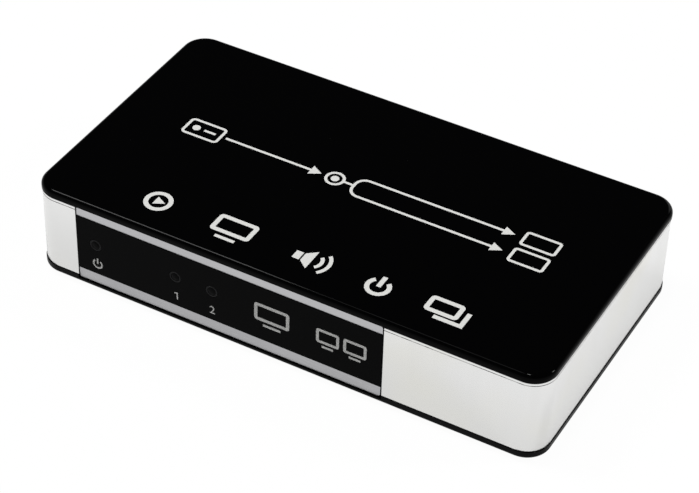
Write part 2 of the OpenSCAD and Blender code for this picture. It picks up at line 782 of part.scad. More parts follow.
// Fixed part of the same spring, from the bend down through the board
module inlet_blade_terminal() color("#c9b98a") at_jack()
    bent_strip([
        [-bend_at - bend_gap, blade_top], [-terminal_end, blade_top],
        [-terminal_end, -board_t - leg_out], [-terminal_end + blade_t, -board_t - leg_out],
        [-terminal_end + blade_t, blade_top - blade_t], [-bend_at - bend_gap, blade_top - blade_t]
    ], blade_w);

// Contact that the blade leaves when a plug goes in: it reaches over the blade's tip from the side
module inlet_switch_contact() color("#c9b98a") at_jack() {
    tab_z = blade_top + rest_gap;
    upright(-switch_at, switch_l) polygon([
        [blade_w / 2 - switch_reach, tab_z], [switch_side, tab_z],
        [switch_side, -board_t - leg_out], [switch_side + blade_t, -board_t - leg_out],
        [switch_side + blade_t, tab_z + blade_t], [blade_w / 2 - switch_reach, tab_z + blade_t]
    ]);
}

// Circuit board and its components

// Cutter for a leg or terminal of l by w that passes through the board
module board_slot(l, w) {
    block(l + 2 * hole_gap, w + 2 * hole_gap, -board_t - past, past);
}

module circuit_board() color("#1f5a38") difference() {
    translate([0, board_y, board_z]) linear_extrude(board_t) rounded_rect(board_l, board_w, board_r);
    at_screws() translate([0, 0, board_z - past])
        cylinder(d = screw_d + 2 * hole_gap, h = board_t + 2 * past);
    for (x = socket_xs) at_socket(x) at_legs() board_slot(shell_t, leg_w);
    for (x = lamp_xs, s = [-1, 1]) translate([x + s * lead_pitch / 2, lead_y, board_z - past])
        cylinder(d = lead_d + 2 * hole_gap, h = board_t + 2 * past);
    at_jack() {
        translate([0, -jack_back - blade_t / 2, 0]) board_slot(blade_w, blade_t);
        translate([0, -terminal_end + blade_t / 2, 0]) board_slot(blade_w, blade_t);
        translate([switch_side + blade_t / 2, -switch_at - switch_l / 2, 0]) board_slot(blade_t, switch_l);
    }
}

module splitter_chip() color("#1d1d1f") on_board(chip_at) block(chip_w, chip_w, 0, chip_t);

module thermal_pad() color("#9fa6b5") on_board(chip_at) block(chip_w, chip_w, chip_t, chip_t + pad_t);

module heat_sink() color("#a9abad") on_board(chip_at) translate([0, 0, chip_t + pad_t]) {
    block(sink_w, sink_w, 0, sink_base_t);
    for (i = [0 : fin_count - 1])
        translate([(i / (fin_count - 1) - 1 / 2) * (sink_w - fin_t), 0, 0])
            block(fin_t, sink_w, sink_base_t / 2, sink_base_t + fin_h);
}

module leaded_body(at, l) color("#1d1d1f") on_board(at) block(l, small_chip_w, 0, small_chip_h);

module control_chip() leaded_body(control_at, control_l);
module memory_chip() leaded_body(memory_at, small_chip_l);
module switching_regulator() leaded_body(switching_at, small_chip_l);
module linear_regulator() leaded_body(linear_at, linear_l);

// One row of bent leads on each long side of a leaded chip
module gull_rows(at, count, pitch, w) {
    mid = (small_chip_h - gull_t) / 2;
    on_board(at) for (side = [0, 180], i = [0 : count - 1])
        rotate(side) translate([(i - (count - 1) / 2) * pitch, small_chip_w / 2, 0]) bent_strip([
            [0, mid + gull_t], [gull_knee + gull_t, mid + gull_t], [gull_knee + gull_t, gull_t],
            [gull_l, gull_t], [gull_l, 0], [gull_knee, 0], [gull_knee, mid], [0, mid]
        ], w);
}

module chip_leads() color("#c4c4c0") {
    gull_rows(control_at, control_lead_count, control_lead_pitch, control_lead_w);
    gull_rows(memory_at, small_lead_count, small_lead_pitch, small_lead_w);
    gull_rows(switching_at, small_lead_count, small_lead_pitch, small_lead_w);
    gull_rows(linear_at, linear_lead_count, linear_lead_pitch, small_lead_w);
}

module crystal() color("#c2c4c6") on_board(crystal_at) {
    linear_extrude(crystal_h) rounded_rect(crystal_l, crystal_w, crystal_w / 2 - crystal_flange);
    linear_extrude(crystal_flange)
        rounded_rect(crystal_l + 2 * crystal_flange, crystal_w + 2 * crystal_flange, crystal_w / 2);
}

module power_inductor() color("#4a4a4c") on_board(coil_at)
    linear_extrude(coil_h) rounded_rect(coil_w, coil_w, coil_r);

module filter_capacitors() color("#b9bcc0")
    for (x = can_xs) on_board([x, can_y]) {
        block(can_foot_w, can_foot_w, 0, can_foot_h);
        cylinder(d = can_d, h = can_h);
    }

// A row of chip capacitors along the front of the heat sink
module chip_capacitors() color("#b08a5a")
    for (i = [0 : capacitor_count - 1])
        on_board([chip_at[0] + (i - (capacitor_count - 1) / 2) * capacitor_pitch, capacitor_y])
            block(chip_part_w, chip_part_l, 0, chip_capacitor_h);

// One resistor behind each lamp holder
module chip_resistors() color("#26262a")
    for (x = lamp_xs) on_board([x, lamp_resistor_y]) block(chip_part_w, chip_part_l, 0, chip_resistor_h);

// Three arrays behind each video socket
module surge_arrays() color("#222226")
    for (x = socket_xs, i = [-1 : 1]) on_board([x + i * (array_l + part_room), array_y])
        block(array_l, array_w, 0, array_h);

top_cover();
side_band();
base_plate();
front_plate();
front_film();
power_lens();
output_1_lens();
output_2_lens();
rear_panel();
rubber_feet();
case_screws();
circuit_board();
input_shell();
input_insulator();
input_contacts();
output_1_shell();
output_1_insulator();
output_1_contacts();
output_2_shell();
output_2_insulator();
output_2_contacts();
inlet_housing();
inlet_pin();
inlet_blade();
inlet_blade_terminal();
inlet_switch_contact();
power_lamp();
output_1_lamp();
output_2_lamp();
lamp_leads();
lamp_holders();
splitter_chip();
thermal_pad();
heat_sink();
control_chip();
memory_chip();
switching_regulator();
linear_regulator();
chip_leads();
crystal();
power_inductor();
filter_capacitors();
chip_capacitors();
chip_resistors();
surge_arrays();
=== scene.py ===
"""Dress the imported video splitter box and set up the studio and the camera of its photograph.

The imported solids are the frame. Pieces that show are made again here with rounded edges, seams and
prints, each in the place of its solid, and the solids inside the case get their finishes. Sizes in
the classes are in millimetres; finished meshes are in metres.
"""

import json
import logging
import math
from abc import ABC, abstractmethod
from dataclasses import dataclass, field
from enum import Enum
from typing import Any, ClassVar, Iterable, Optional, Sequence, Union

import bmesh
import bpy
from bmesh.types import BMEdge, BMFace, BMVert
from mathutils import Matrix, Vector


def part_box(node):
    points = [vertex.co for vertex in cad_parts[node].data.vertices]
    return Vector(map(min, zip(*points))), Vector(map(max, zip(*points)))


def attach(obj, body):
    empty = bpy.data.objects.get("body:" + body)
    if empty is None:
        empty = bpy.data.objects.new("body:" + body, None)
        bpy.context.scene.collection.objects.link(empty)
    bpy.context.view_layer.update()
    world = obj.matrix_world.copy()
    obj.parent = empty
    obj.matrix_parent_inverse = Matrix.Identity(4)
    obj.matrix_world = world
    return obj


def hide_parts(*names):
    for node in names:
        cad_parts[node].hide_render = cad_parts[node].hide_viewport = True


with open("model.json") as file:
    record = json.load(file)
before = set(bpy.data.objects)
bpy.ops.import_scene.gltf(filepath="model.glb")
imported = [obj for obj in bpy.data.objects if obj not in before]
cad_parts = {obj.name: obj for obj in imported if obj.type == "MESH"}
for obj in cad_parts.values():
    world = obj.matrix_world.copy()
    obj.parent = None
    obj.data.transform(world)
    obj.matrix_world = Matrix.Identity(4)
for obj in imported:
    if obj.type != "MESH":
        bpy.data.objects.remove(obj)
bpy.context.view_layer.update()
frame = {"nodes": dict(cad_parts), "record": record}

LOG = logging.getLogger("splitter")

MM = 0.001
CASE = "case"
LENSES = ("power_lens", "output_1_lens", "output_2_lens")
# Steps of an outline's corner, of a small rounded edge, and of a full circle.
CORNER_STEPS = 16
EDGE_STEPS = 3
CIRCLE_STEPS = 48
# Edges that turn by less than this are shaded smooth.
SMOOTH_ANGLE = math.radians(35)
# Points and measures that differ by less than this count as the same.
WELD = 1e-4
# A face counts as upright where its normal's z is smaller than this.
UPRIGHT = 0.1
# Thickness of printed ink.
INK_DEPTH = 0.02
WHITE = (1.0, 1.0, 1.0)
# Smallest radius of a printed frame's inner corners.
INNER_CORNER = 0.1
# How far the rear panel's flange reaches behind the band's window, all round.
PANEL_LIP = 1.2
# The face layer that the weighted normals read, and its number for a face that leads.
LEAD_LAYER = "__mod_weightednormals_faceweight"
LEAD = 16384
# A Mix node's sockets for colours: its factor, its two colours and its result.
MIX_SHARE, MIX_FIRST, MIX_SECOND, MIX_RESULT = 0, 6, 7, 2

# A flat piece drawn in x and y stands up at the front or the rear, its thickness towards the viewer.
FRONT = Matrix.Rotation(math.pi / 2, 4, "X")
REAR = Matrix.Rotation(math.pi, 4, "Z") @ FRONT

Colour = tuple[float, float, float]
Point = tuple[float, float]
Spot = tuple[float, float, float]
Operand = Union[float, "Value"]


class Slot(Enum):
    """The record's material slots."""

    COVER = "cover_gloss_black"
    BAND = "band_silver"
    BASE = "base_black"
    PLATE = "plate_satin_silver"
    FILM = "film_black"
    LENS = "lens_smoked"
    PANEL = "panel_black"
    FOOT = "foot_rubber"
    SCREW = "screw_steel"
    BOARD = "board_green"
    SHELL = "shell_steel"
    INSULATOR = "insulator_black"
    GOLD = "contact_gold"
    BRONZE = "contact_bronze"
    LAMP = "lamp_clear"
    TIN = "lead_tin"
    CHIP = "chip_black"
    PAD = "pad_grey"
    SINK = "sink_aluminium"
    FERRITE = "ferrite_grey"
    CERAMIC = "ceramic_tan"


def span(node: str) -> tuple[Vector, Vector]:
    """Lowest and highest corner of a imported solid, in millimetres."""
    low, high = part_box(node)
    return low / MM, high / MM


def facing(node: str) -> tuple[Point, Point]:
    """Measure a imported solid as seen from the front.

    Args:
        node: The solid.

    Returns:
        Its middle and its size, in x and z.
    """
    low, high = span(node)
    middle, size = (low + high) / 2, high - low
    return (middle.x, middle.z), (size.x, size.z)


def lift(height: float) -> Matrix:
    """A move along z."""
    return Matrix.Translation((0.0, 0.0, height))


def corners(x: float, y: float) -> list[Point]:
    """The four points that lie x and y from the middle."""
    return [(x * i, y * j) for i in (-1, 1) for j in (-1, 1)]


def only(kind: type, parts: Iterable[Any]) -> list[Any]:
    """The parts of one kind."""
    return [part for part in parts if isinstance(part, kind)]


def unique(parts: Iterable[Any]) -> list[Any]:
    """Parts in their order, each once."""
    return list(dict.fromkeys(parts))


def toned(colour: Colour, share: float) -> Colour:
    """A colour made darker or paler by a share."""
    return tuple(part * share for part in colour)


class Value:
    """A node's output that takes part in Python expressions; each operator adds a Math node."""

    def __init__(self, nodes: "Nodes", socket: bpy.types.NodeSocket) -> None:
        """Keep the tree and the output."""
        self.nodes = nodes
        self.socket = socket

    def math(self, operation: str, first: Operand, second: Operand) -> "Value":
        """The result of a new Math node."""
        return self.nodes.add("ShaderNodeMath", {"operation": operation}, {0: first, 1: second})

    def __add__(self, other: Operand) -> "Value":
        """This plus other."""
        return self.math("ADD", self, other)

    def __radd__(self, other: Operand) -> "Value":
        """Other plus this."""
        return self.math("ADD", other, self)

    def __sub__(self, other: Operand) -> "Value":
        """This minus other."""
        return self.math("SUBTRACT", self, other)

    def __rsub__(self, other: Operand) -> "Value":
        """Other minus this."""
        return self.math("SUBTRACT", other, self)

    def __mul__(self, other: Operand) -> "Value":
        """This times other."""
        return self.math("MULTIPLY", self, other)

    def __rmul__(self, other: Operand) -> "Value":
        """Other times this."""
        return self.math("MULTIPLY", other, self)


class Nodes:
    """A node tree that is filled from Python."""

    def __init__(self, tree: bpy.types.NodeTree) -> None:
        """Keep the tree."""
        self.tree = tree

    def add(
        self,
        kind: str,
        settings: Optional[dict[str, Any]] = None,
        sockets: Optional[dict[Union[str, int], Any]] = None,
        output: Union[str, int] = 0,
    ) -> Value:
        """Add a node.

        Args:
            kind: Type of the node.
            settings: The node's own settings, set first.
            sockets: A value or a link for each input.
            output: The output that is handed back.

        Returns:
            The chosen output.
        """
        node = self.tree.nodes.new(kind)
        for name, setting in (settings or {}).items():
            setattr(node, name, setting)
        self.fill(node, sockets or {})
        return Value(self, node.outputs[output])

    def fill(self, node: bpy.types.Node, sockets: dict[Union[str, int], Any]) -> None:
        """Set or link a node's inputs.

        Args:
            node: The node.
            sockets: A value or a link for each input.
        """
        for name, value in sockets.items():
            socket = node.inputs[name]
            if isinstance(value, Value):
                self.tree.links.new(value.socket, socket)
            elif socket.type == "RGBA" and len(value) == 3:
                socket.default_value = (*value, 1.0)
            else:
                socket.default_value = value

    def ramp(self, value: Operand, low: float, high: float) -> Value:
        """Take a value smoothly to the range from 0 to 1.

        Args:
            value: The value.
            low: Where the range starts.
            high: Where it ends.

        Returns:
            Zero below low and one above high.
        """
        return self.add(
            "ShaderNodeMapRange",
            {"interpolation_type": "SMOOTHSTEP"},
            {"Value": value, "From Min": low, "From Max": high},
        )

    def blend(self, share: Operand, first: Any, second: Any) -> Value:
        """A colour between two."""
        sockets = {MIX_SHARE: share, MIX_FIRST: first, MIX_SECOND: second}
        return self.add("ShaderNodeMix", {"data_type": "RGBA"}, sockets, MIX_RESULT)

    def axis(self, place: Value, name: str) -> Value:
        """One of a place's coordinates."""
        return self.add("ShaderNodeSeparateXYZ", None, {"Vector": place}, name)

    def ray(self, kind: str) -> Value:
        """One for rays of a kind, such as those from the camera."""
        return self.add("ShaderNodeLightPath", output=f"Is {kind} Ray")


class Shader(Nodes):
    """A material's tree with its Principled shader."""

    def __init__(self, name: str) -> None:
        """Make the material.

        Args:
            name: Its name.
        """
        self.material = bpy.data.materials.new(name)
        self.material.use_nodes = True
        super().__init__(self.material.node_tree)
        self.surface = self.tree.nodes["Principled BSDF"]
        self.output = self.tree.nodes["Material Output"]

    def place(self, stretch: Spot = (1.0, 1.0, 1.0)) -> Value:
        """The piece's own coordinates, packed closer along an axis where stretch is over 1."""
        spot = self.add("ShaderNodeTexCoord", output="Object")
        return self.add("ShaderNodeMapping", None, {"Vector": spot, "Scale": stretch})

    def noise(self, place: Value, size: float, detail: float = 2.0) -> Value:
        """Noise whose patches are about size millimetres wide."""
        scale = 1.0 / (size * MM)
        return self.add("ShaderNodeTexNoise", None, {"Vector": place, "Scale": scale, "Detail": detail})

    def specks(self, place: Value, apart: float, width: float) -> Value:
        """Scatter small round specks.

        Args:
            place: Coordinates.
            apart: Mean distance between specks, in millimetres.
            width: A speck's width, in millimetres.

        Returns:
            One in the middle of a speck, zero between them.
        """
        cells = self.add("ShaderNodeTexVoronoi", None, {"Vector": place, "Scale": 1.0 / (apart * MM)})
        return 1.0 - self.ramp(cells, 0.0, width / apart)

    def along(self, place: Value, axis: str, limits: Point) -> Value:
        """Zero before the first limit along an axis and one past the second, in millimetres."""
        return self.ramp(self.axis(place, axis), limits[0] * MM, limits[1] * MM)

    def bump(self, height: Operand, depth: float) -> None:
        """Raise the surface by height times depth millimetres."""
        raised = self.add("ShaderNodeBump", None, {"Height": height, "Distance": depth * MM})
        self.dress({"Normal": raised})

    def dress(self, sockets: dict[Union[str, int], Any]) -> None:
        """Set or link the surface's inputs."""
        self.fill(self.surface, sockets)


@dataclass(frozen=True)
class Finish(ABC):
    """A finish: what it is called, its colour and its gloss.

    In each finish a size, a width or a depth is in millimetres. A range is where a pattern starts to
    show and where it shows in full, and a swing is how far the roughness goes up and down.
    """

    name: str
    colour: Colour
    roughness: float
    level: float = 0.5

    _made: ClassVar[dict[str, bpy.types.Material]] = {}

    def material(self) -> bpy.types.Material:
        """Find the finish's material, or make it when it is first asked for.

        Returns:
            The material.
        """
        if self.name not in self._made:
            shader = Shader(self.name)
            self.paint(shader)
            self._made[self.name] = shader.material
        return self._made[self.name]

    def uneven(self, noise: Value, swing: float) -> Value:
        """The roughness, with a noise that makes it swing about its mean."""
        return self.roughness + (noise - 0.5) * swing

    @abstractmethod
    def paint(self, shader: Shader) -> None:
        """Paint the finish on a shader."""


@dataclass(frozen=True)
class GlossMoulding(Finish):
    """Plastic off a polished mould, with faint orange peel, hand marks and dust."""

    peel: float = 0.9
    peel_depth: float = 0.0004
    marks: float = 0.06
    mark_size: float = 16.0
    mark_range: Point = (0.5, 0.8)
    dust: float = 0.12
    dust_colour: Colour = (0.3, 0.3, 0.3)
    dust_roughness: float = 0.3
    dust_apart: float = 4.2
    dust_width: float = 0.07

    def paint(self, shader: Shader) -> None:
        """Paint the finish.

        Args:
            shader: The shader that gets it.
        """
        place = shader.place()
        handled = shader.ramp(shader.noise(place, self.mark_size, detail=5.0), *self.mark_range)
        specks = shader.specks(place, self.dust_apart, self.dust_width)
        shader.bump(shader.noise(place, self.peel, detail=1.0), self.peel_depth)
        shader.dress({
            "Base Color": shader.blend(specks * self.dust, self.colour, self.dust_colour),
            "Roughness": self.roughness + handled * self.marks + specks * self.dust_roughness,
            "Specular IOR Level": self.level,
        })


@dataclass(frozen=True)
class GrainedPlastic(Finish):
    """Plastic or rubber off an etched mould: a fine grain, and a little unevenness in its colour."""

    grain: float = 0.22
    grain_depth: float = 0.012
    grain_swing: float = 0.2
    rubbed: float = 1.5
    bloom: float = 0.002
    patch_size: float = 7.0
    patch_range: Point = (0.4, 0.75)

    def paint(self, shader: Shader) -> None:
        """Paint the finish.

        Args:
            shader: The shader that gets it.
        """
        place = shader.place()
        grain = shader.noise(place, self.grain, detail=3.0)
        patches = shader.ramp(shader.noise(place, self.patch_size, detail=3.0), *self.patch_range)
        pale = tuple(min(1.0, part + self.bloom) for part in toned(self.colour, self.rubbed))
        shader.bump(grain, self.grain_depth)
        shader.dress({
            "Base Color": shader.blend(patches, self.colour, pale),
            "Roughness": self.uneven(grain, self.grain_swing),
            "Specular IOR Level": self.level,
        })


@dataclass(frozen=True)
class BrightSkin(Finish):
    """A bright metal skin, rippled, with painted shade low down and in upright bands, and a warm cast in
    patches.
    """

    # Painted shade: the skin darkens towards this colour low down, between the heights, and in upright
    # bands.
    low: Colour = (0.7, 0.7, 0.69)
    heights: Point = (2.5, 19.6)
    # The upright bands are partly the skin's own unevenness and partly painted reflection.
    bands: float = 0.3
    band_size: float = 3.4
    band_stretch: Spot = (1.0, 1.0, 0.05)
    band_range: Point = (0.45, 0.75)
    warm: Colour = (0.74, 0.73, 0.65)
    cast: float = 0.5
    cast_size: float = 24.0
    cast_range: Point = (0.5, 0.8)
    streak_size: float = 2.6
    streak_stretch: Spot = (1.0, 1.0, 16.0)
    streak_swing: float = 0.09
    streak_height: float = 0.05
    ripple_size: float = 11.0
    ripple_depth: float = 0.004
    specks: float = 0.6
    speck_colour: Colour = (0.3, 0.3, 0.29)
    speck_apart: float = 11.0
    speck_width: float = 0.22

    def paint(self, shader: Shader) -> None:
        """Paint the finish.

        Args:
            shader: The shader that gets it.
        """
        place = shader.place()
        streaks = shader.noise(shader.place(self.streak_stretch), self.streak_size, detail=4.0)
        bands = shader.noise(shader.place(self.band_stretch), self.band_size, detail=4.0)
        ripple = shader.noise(place, self.ripple_size, detail=1.0)
        cast = shader.ramp(shader.noise(place, self.cast_size), *self.cast_range)
        specks = shader.specks(place, self.speck_apart, self.speck_width)
        # Painted shade: darker towards the bottom, and in upright bands that are partly painted
        # reflection.
        tone = shader.blend(shader.along(place, "Z", self.heights), self.low, self.colour)
        tone = shader.blend(shader.ramp(bands, *self.band_range) * self.bands, tone, self.low)
        tone = shader.blend(cast * self.cast, tone, self.warm)
        shader.bump(ripple + streaks * self.streak_height, self.ripple_depth)
        shader.dress({
            "Base Color": shader.blend(specks * self.specks, tone, self.speck_colour),
            "Roughness": self.uneven(streaks, self.streak_swing),
            "Metallic": 1.0,
        })


@dataclass(frozen=True)
class BrokenSeam(Finish):
    """A pressed seam with a bright skin, painted dark as shade in short stretches and at the front
    corners.
    """

    bright: Colour = (0.6, 0.6, 0.59)
    bright_gloss: float = 0.2
    stretch: Spot = (1.0, 1.0, 0.1)
    shade_size: float = 2.4
    shade_range: Point = (0.44, 0.6)
    corner: Point = (50.5, 53.0)
    front: Point = (-26.0, -28.5)
    corner_shade: float = 0.3
    pit_size: float = 0.5
    pit_depth: float = 0.01

    def paint(self, shader: Shader) -> None:
        """Paint the finish.

        Args:
            shader: The shader that gets it.
        """
        place = shader.place(self.stretch)
        reach = shader.add("ShaderNodeMath", {"operation": "ABSOLUTE"}, {0: shader.axis(place, "X")})
        # Painted shade: the seam is painted dark in short stretches, and more at the front corners.
        corner = shader.ramp(reach, self.corner[0] * MM, self.corner[1] * MM)
        corner = corner * shader.along(place, "Y", self.front) * self.corner_shade
        patches = shader.noise(place, self.shade_size, detail=4.0)
        shaded = shader.ramp(patches + corner, *self.shade_range)
        shader.bump(shader.noise(place, self.pit_size), self.pit_depth)
        shader.dress({
            "Base Color": shader.blend(shaded, self.bright, self.colour),
            "Roughness": self.roughness - (1.0 - shaded) * self.bright_gloss,
            "Metallic": 1.0 - shaded,
        })


@dataclass(frozen=True)
class SatinMetal(Finish):
    """Metal or metal paint with a fine grain that runs along x, and painted shade that dims it low down.
    """

    # Painted shade: the colour's share at the bottom, and the heights over which it darkens towards it.
    low: float = 1.0
    heights: Point = (4.0, 17.5)
    dim: float = 0.94
    patches: float = 0.5
    patch_size: float = 18.0
    patch_range: Point = (0.3, 0.8)
    pale: float = 1.12
    rubbed: float = 0.4
    rubbed_range: Point = (0.45, 0.8)
    grain: float = 0.35
    grain_stretch: Spot = (0.08, 1.0, 1.0)
    grain_depth: float = 0.0015
    grain_swing: float = 0.18

    def paint(self, shader: Shader) -> None:
        """Paint the finish.

        Args:
            shader: The shader that gets it.
        """
        grain = shader.noise(shader.place(self.grain_stretch), self.grain, detail=4.0)
        place = shader.place()
        patches = shader.ramp(shader.noise(place, self.patch_size), *self.patch_range)
        rubbed = shader.ramp(grain, *self.rubbed_range)
        low, dim, pale = (toned(self.colour, share) for share in (self.low, self.dim, self.pale))
        # Painted shade: darker towards the bottom.
        tone = shader.blend(shader.along(place, "Z", self.heights), low, self.colour)
        tone = shader.blend(patches * self.patches, tone, dim)
        shader.bump(grain, self.grain_depth)
        shader.dress({
            "Base Color": shader.blend(rubbed * self.rubbed, tone, pale),
            "Roughness": self.uneven(grain, self.grain_swing),
            "Metallic": 1.0,
        })


@dataclass(frozen=True)
class PlatedMetal(Finish):
    """Plated sheet or wire with faint scuffs and a duller tone in patches."""

    dull: float = 0.75
    patch_size: float = 3.0
    patch_range: Point = (0.4, 0.8)
    scuff_size: float = 0.5
    scuff_stretch: Spot = (1.0, 7.0, 1.0)
    scuff_depth: float = 0.0008
    scuff_swing: float = 0.25

    def paint(self, shader: Shader) -> None:
        """Paint the finish.

        Args:
            shader: The shader that gets it.
        """
        scuffs = shader.noise(shader.place(self.scuff_stretch), self.scuff_size, detail=5.0)
        patches = shader.noise(shader.place(), self.patch_size, detail=3.0)
        dulled = shader.ramp(patches, *self.patch_range)
        shader.bump(scuffs, self.scuff_depth)
        shader.dress({
            "Base Color": shader.blend(dulled, self.colour, toned(self.colour, self.dull)),
            "Roughness": self.uneven(scuffs, self.scuff_swing),
            "Metallic": 1.0,
        })


@dataclass(frozen=True)
class SolderMask(Finish):
    """A circuit board's coat: lighter copper areas under it, and round tinned points."""

    copper: Colour = (0.03, 0.2, 0.08)
    track_scale: float = 120.0
    track_wander: float = 3.0
    track_range: Point = (0.55, 0.62)
    area_size: float = 9.0
    area_range: Point = (0.48, 0.52)
    tin: Colour = (0.5, 0.5, 0.48)
    tin_roughness: float = 0.1
    tin_height: float = 0.5
    point_apart: float = 3.1
    point_width: float = 0.5
    point_range: Point = (0.35, 0.45)
    relief: float = 0.02

    def paint(self, shader: Shader) -> None:
        """Paint the finish.

        Args:
            shader: The shader that gets it.
        """
        place = shader.place()
        bands = shader.add(
            "ShaderNodeTexWave",
            {"bands_direction": "DIAGONAL"},
            {"Vector": place, "Scale": self.track_scale, "Distortion": self.track_wander, "Detail": 0.0},
            "Fac",
        )
        areas = shader.ramp(shader.noise(place, self.area_size, detail=1.0), *self.area_range)
        tracks = shader.ramp(bands, *self.track_range) * areas
        specks = shader.specks(place, self.point_apart, self.point_width)
        points = shader.ramp(specks, *self.point_range)
        coat = shader.blend(tracks, self.colour, self.copper)
        shader.bump(tracks + points * self.tin_height, self.relief)
        shader.dress({
            "Base Color": shader.blend(points, coat, self.tin),
            "Roughness": self.roughness + points * self.tin_roughness,
        })


@dataclass(frozen=True)
class Ink(Finish):
    """Screen-printed ink: slightly open at its grain, matt against the gloss under it."""

    grain: float = 0.18
    grain_depth: float = 0.004
    grain_swing: float = 0.2
    thin: float = 0.8
    thin_range: Point = (0.55, 0.75)

    def paint(self, shader: Shader) -> None:
        """Paint the finish.

        Args:
            shader: The shader that gets it.
        """
        grain = shader.noise(shader.place(), self.grain, detail=3.0)
        thinned = shader.ramp(grain, *self.thin_range)
        shader.bump(grain, self.grain_depth)
        shader.dress({
            "Base Color": shader.blend(thinned, self.colour, toned(self.colour, self.thin)),
            "Roughness": self.uneven(grain, self.grain_swing),
            "Specular IOR Level": self.level,
        })


FINISHES: dict[Slot, Finish] = {
    Slot.COVER: GlossMoulding("gloss_black_cover", (0.0007, 0.0007, 0.0008), 0.07, 0.032),
    Slot.BAND: BrightSkin("bright_silver_band", (0.775, 0.775, 0.77), 0.2),
    Slot.BASE: GlossMoulding("black_base", (0.001, 0.001, 0.0011), 0.3, 0.045, marks=0.1),
    # The plate carries painted shade that darkens it towards the bottom.
    Slot.PLATE: SatinMetal("satin_silver_plate", (0.49, 0.49, 0.503), 0.36, low=0.82),
    Slot.FILM: GlossMoulding("black_film", (0.0011, 0.0011, 0.0012), 0.2, 0.02, peel=1.6),
    Slot.LENS: GlossMoulding("smoked_lens", (0.0014, 0.0014, 0.0015), 0.16, 0.024, dust=0.0),
    Slot.PANEL: GrainedPlastic("grained_black_panel", (0.009, 0.009, 0.0095), 0.45, 0.35),
    Slot.FOOT: GrainedPlastic("rubber_feet_finish", (0.012, 0.012, 0.012), 0.8, 0.2, grain=0.35),
    Slot.SCREW: PlatedMetal("blackened_screws", (0.16, 0.16, 0.17), 0.35),
    Slot.BOARD: SolderMask("green_solder_mask", (0.012, 0.12, 0.045), 0.35),
    Slot.SHELL: PlatedMetal("nickel_shells", (0.62, 0.61, 0.58), 0.26),
    Slot.INSULATOR: GrainedPlastic("black_insulators", (0.008, 0.008, 0.008), 0.42, 0.35, grain=0.12),
    Slot.GOLD: PlatedMetal("gold_contacts", (0.86, 0.6, 0.24), 0.22),
    Slot.BRONZE: PlatedMetal("bronze_contacts", (0.62, 0.4, 0.22), 0.28),
    Slot.LAMP: GrainedPlastic("clear_lamps", (0.55, 0.56, 0.58), 0.12, grain=0.4, grain_depth=0.002),
    Slot.TIN: PlatedMetal("tinned_leads", (0.66, 0.66, 0.67), 0.3),
    Slot.CHIP: GrainedPlastic(
        "moulded_chips", (0.013, 0.013, 0.014), 0.55, 0.35, grain=0.1, grain_depth=0.006
    ),
    Slot.PAD: GrainedPlastic("grey_pad", (0.24, 0.25, 0.26), 0.85, 0.2, grain=0.3),
    Slot.SINK: SatinMetal("aluminium_sink", (0.72, 0.72, 0.73), 0.34),
    Slot.FERRITE: GrainedPlastic("grey_ferrite", (0.055, 0.055, 0.06), 0.7, 0.3, grain=0.15),
    Slot.CERAMIC: GrainedPlastic(
        "tan_ceramic", (0.46, 0.31, 0.18), 0.5, 0.4, grain=0.1, grain_depth=0.004
    ),
}
# Dark paint for the walls and floor of the label's recess: painted shade in the narrow gaps round the
# label.
RECESS_SHADE = GrainedPlastic("painted_recess_shade", (0.012, 0.012, 0.012), 0.7, 0.1)
# The seam's dark stretches are painted shade.
SEAM = BrokenSeam("broken_seam", (0.03, 0.03, 0.03), 0.5)
BEZEL = GrainedPlastic(
    "lamp_bezel", (0.009, 0.009, 0.0095), 0.45, 0.07, grain=0.15, grain_depth=0.002
)
INK = Ink("pale_ink", (0.62, 0.62, 0.6), 0.5, 0.3)
FILM_INK = Ink("grey_ink", (0.43, 0.43, 0.42), 0.5, 0.3)


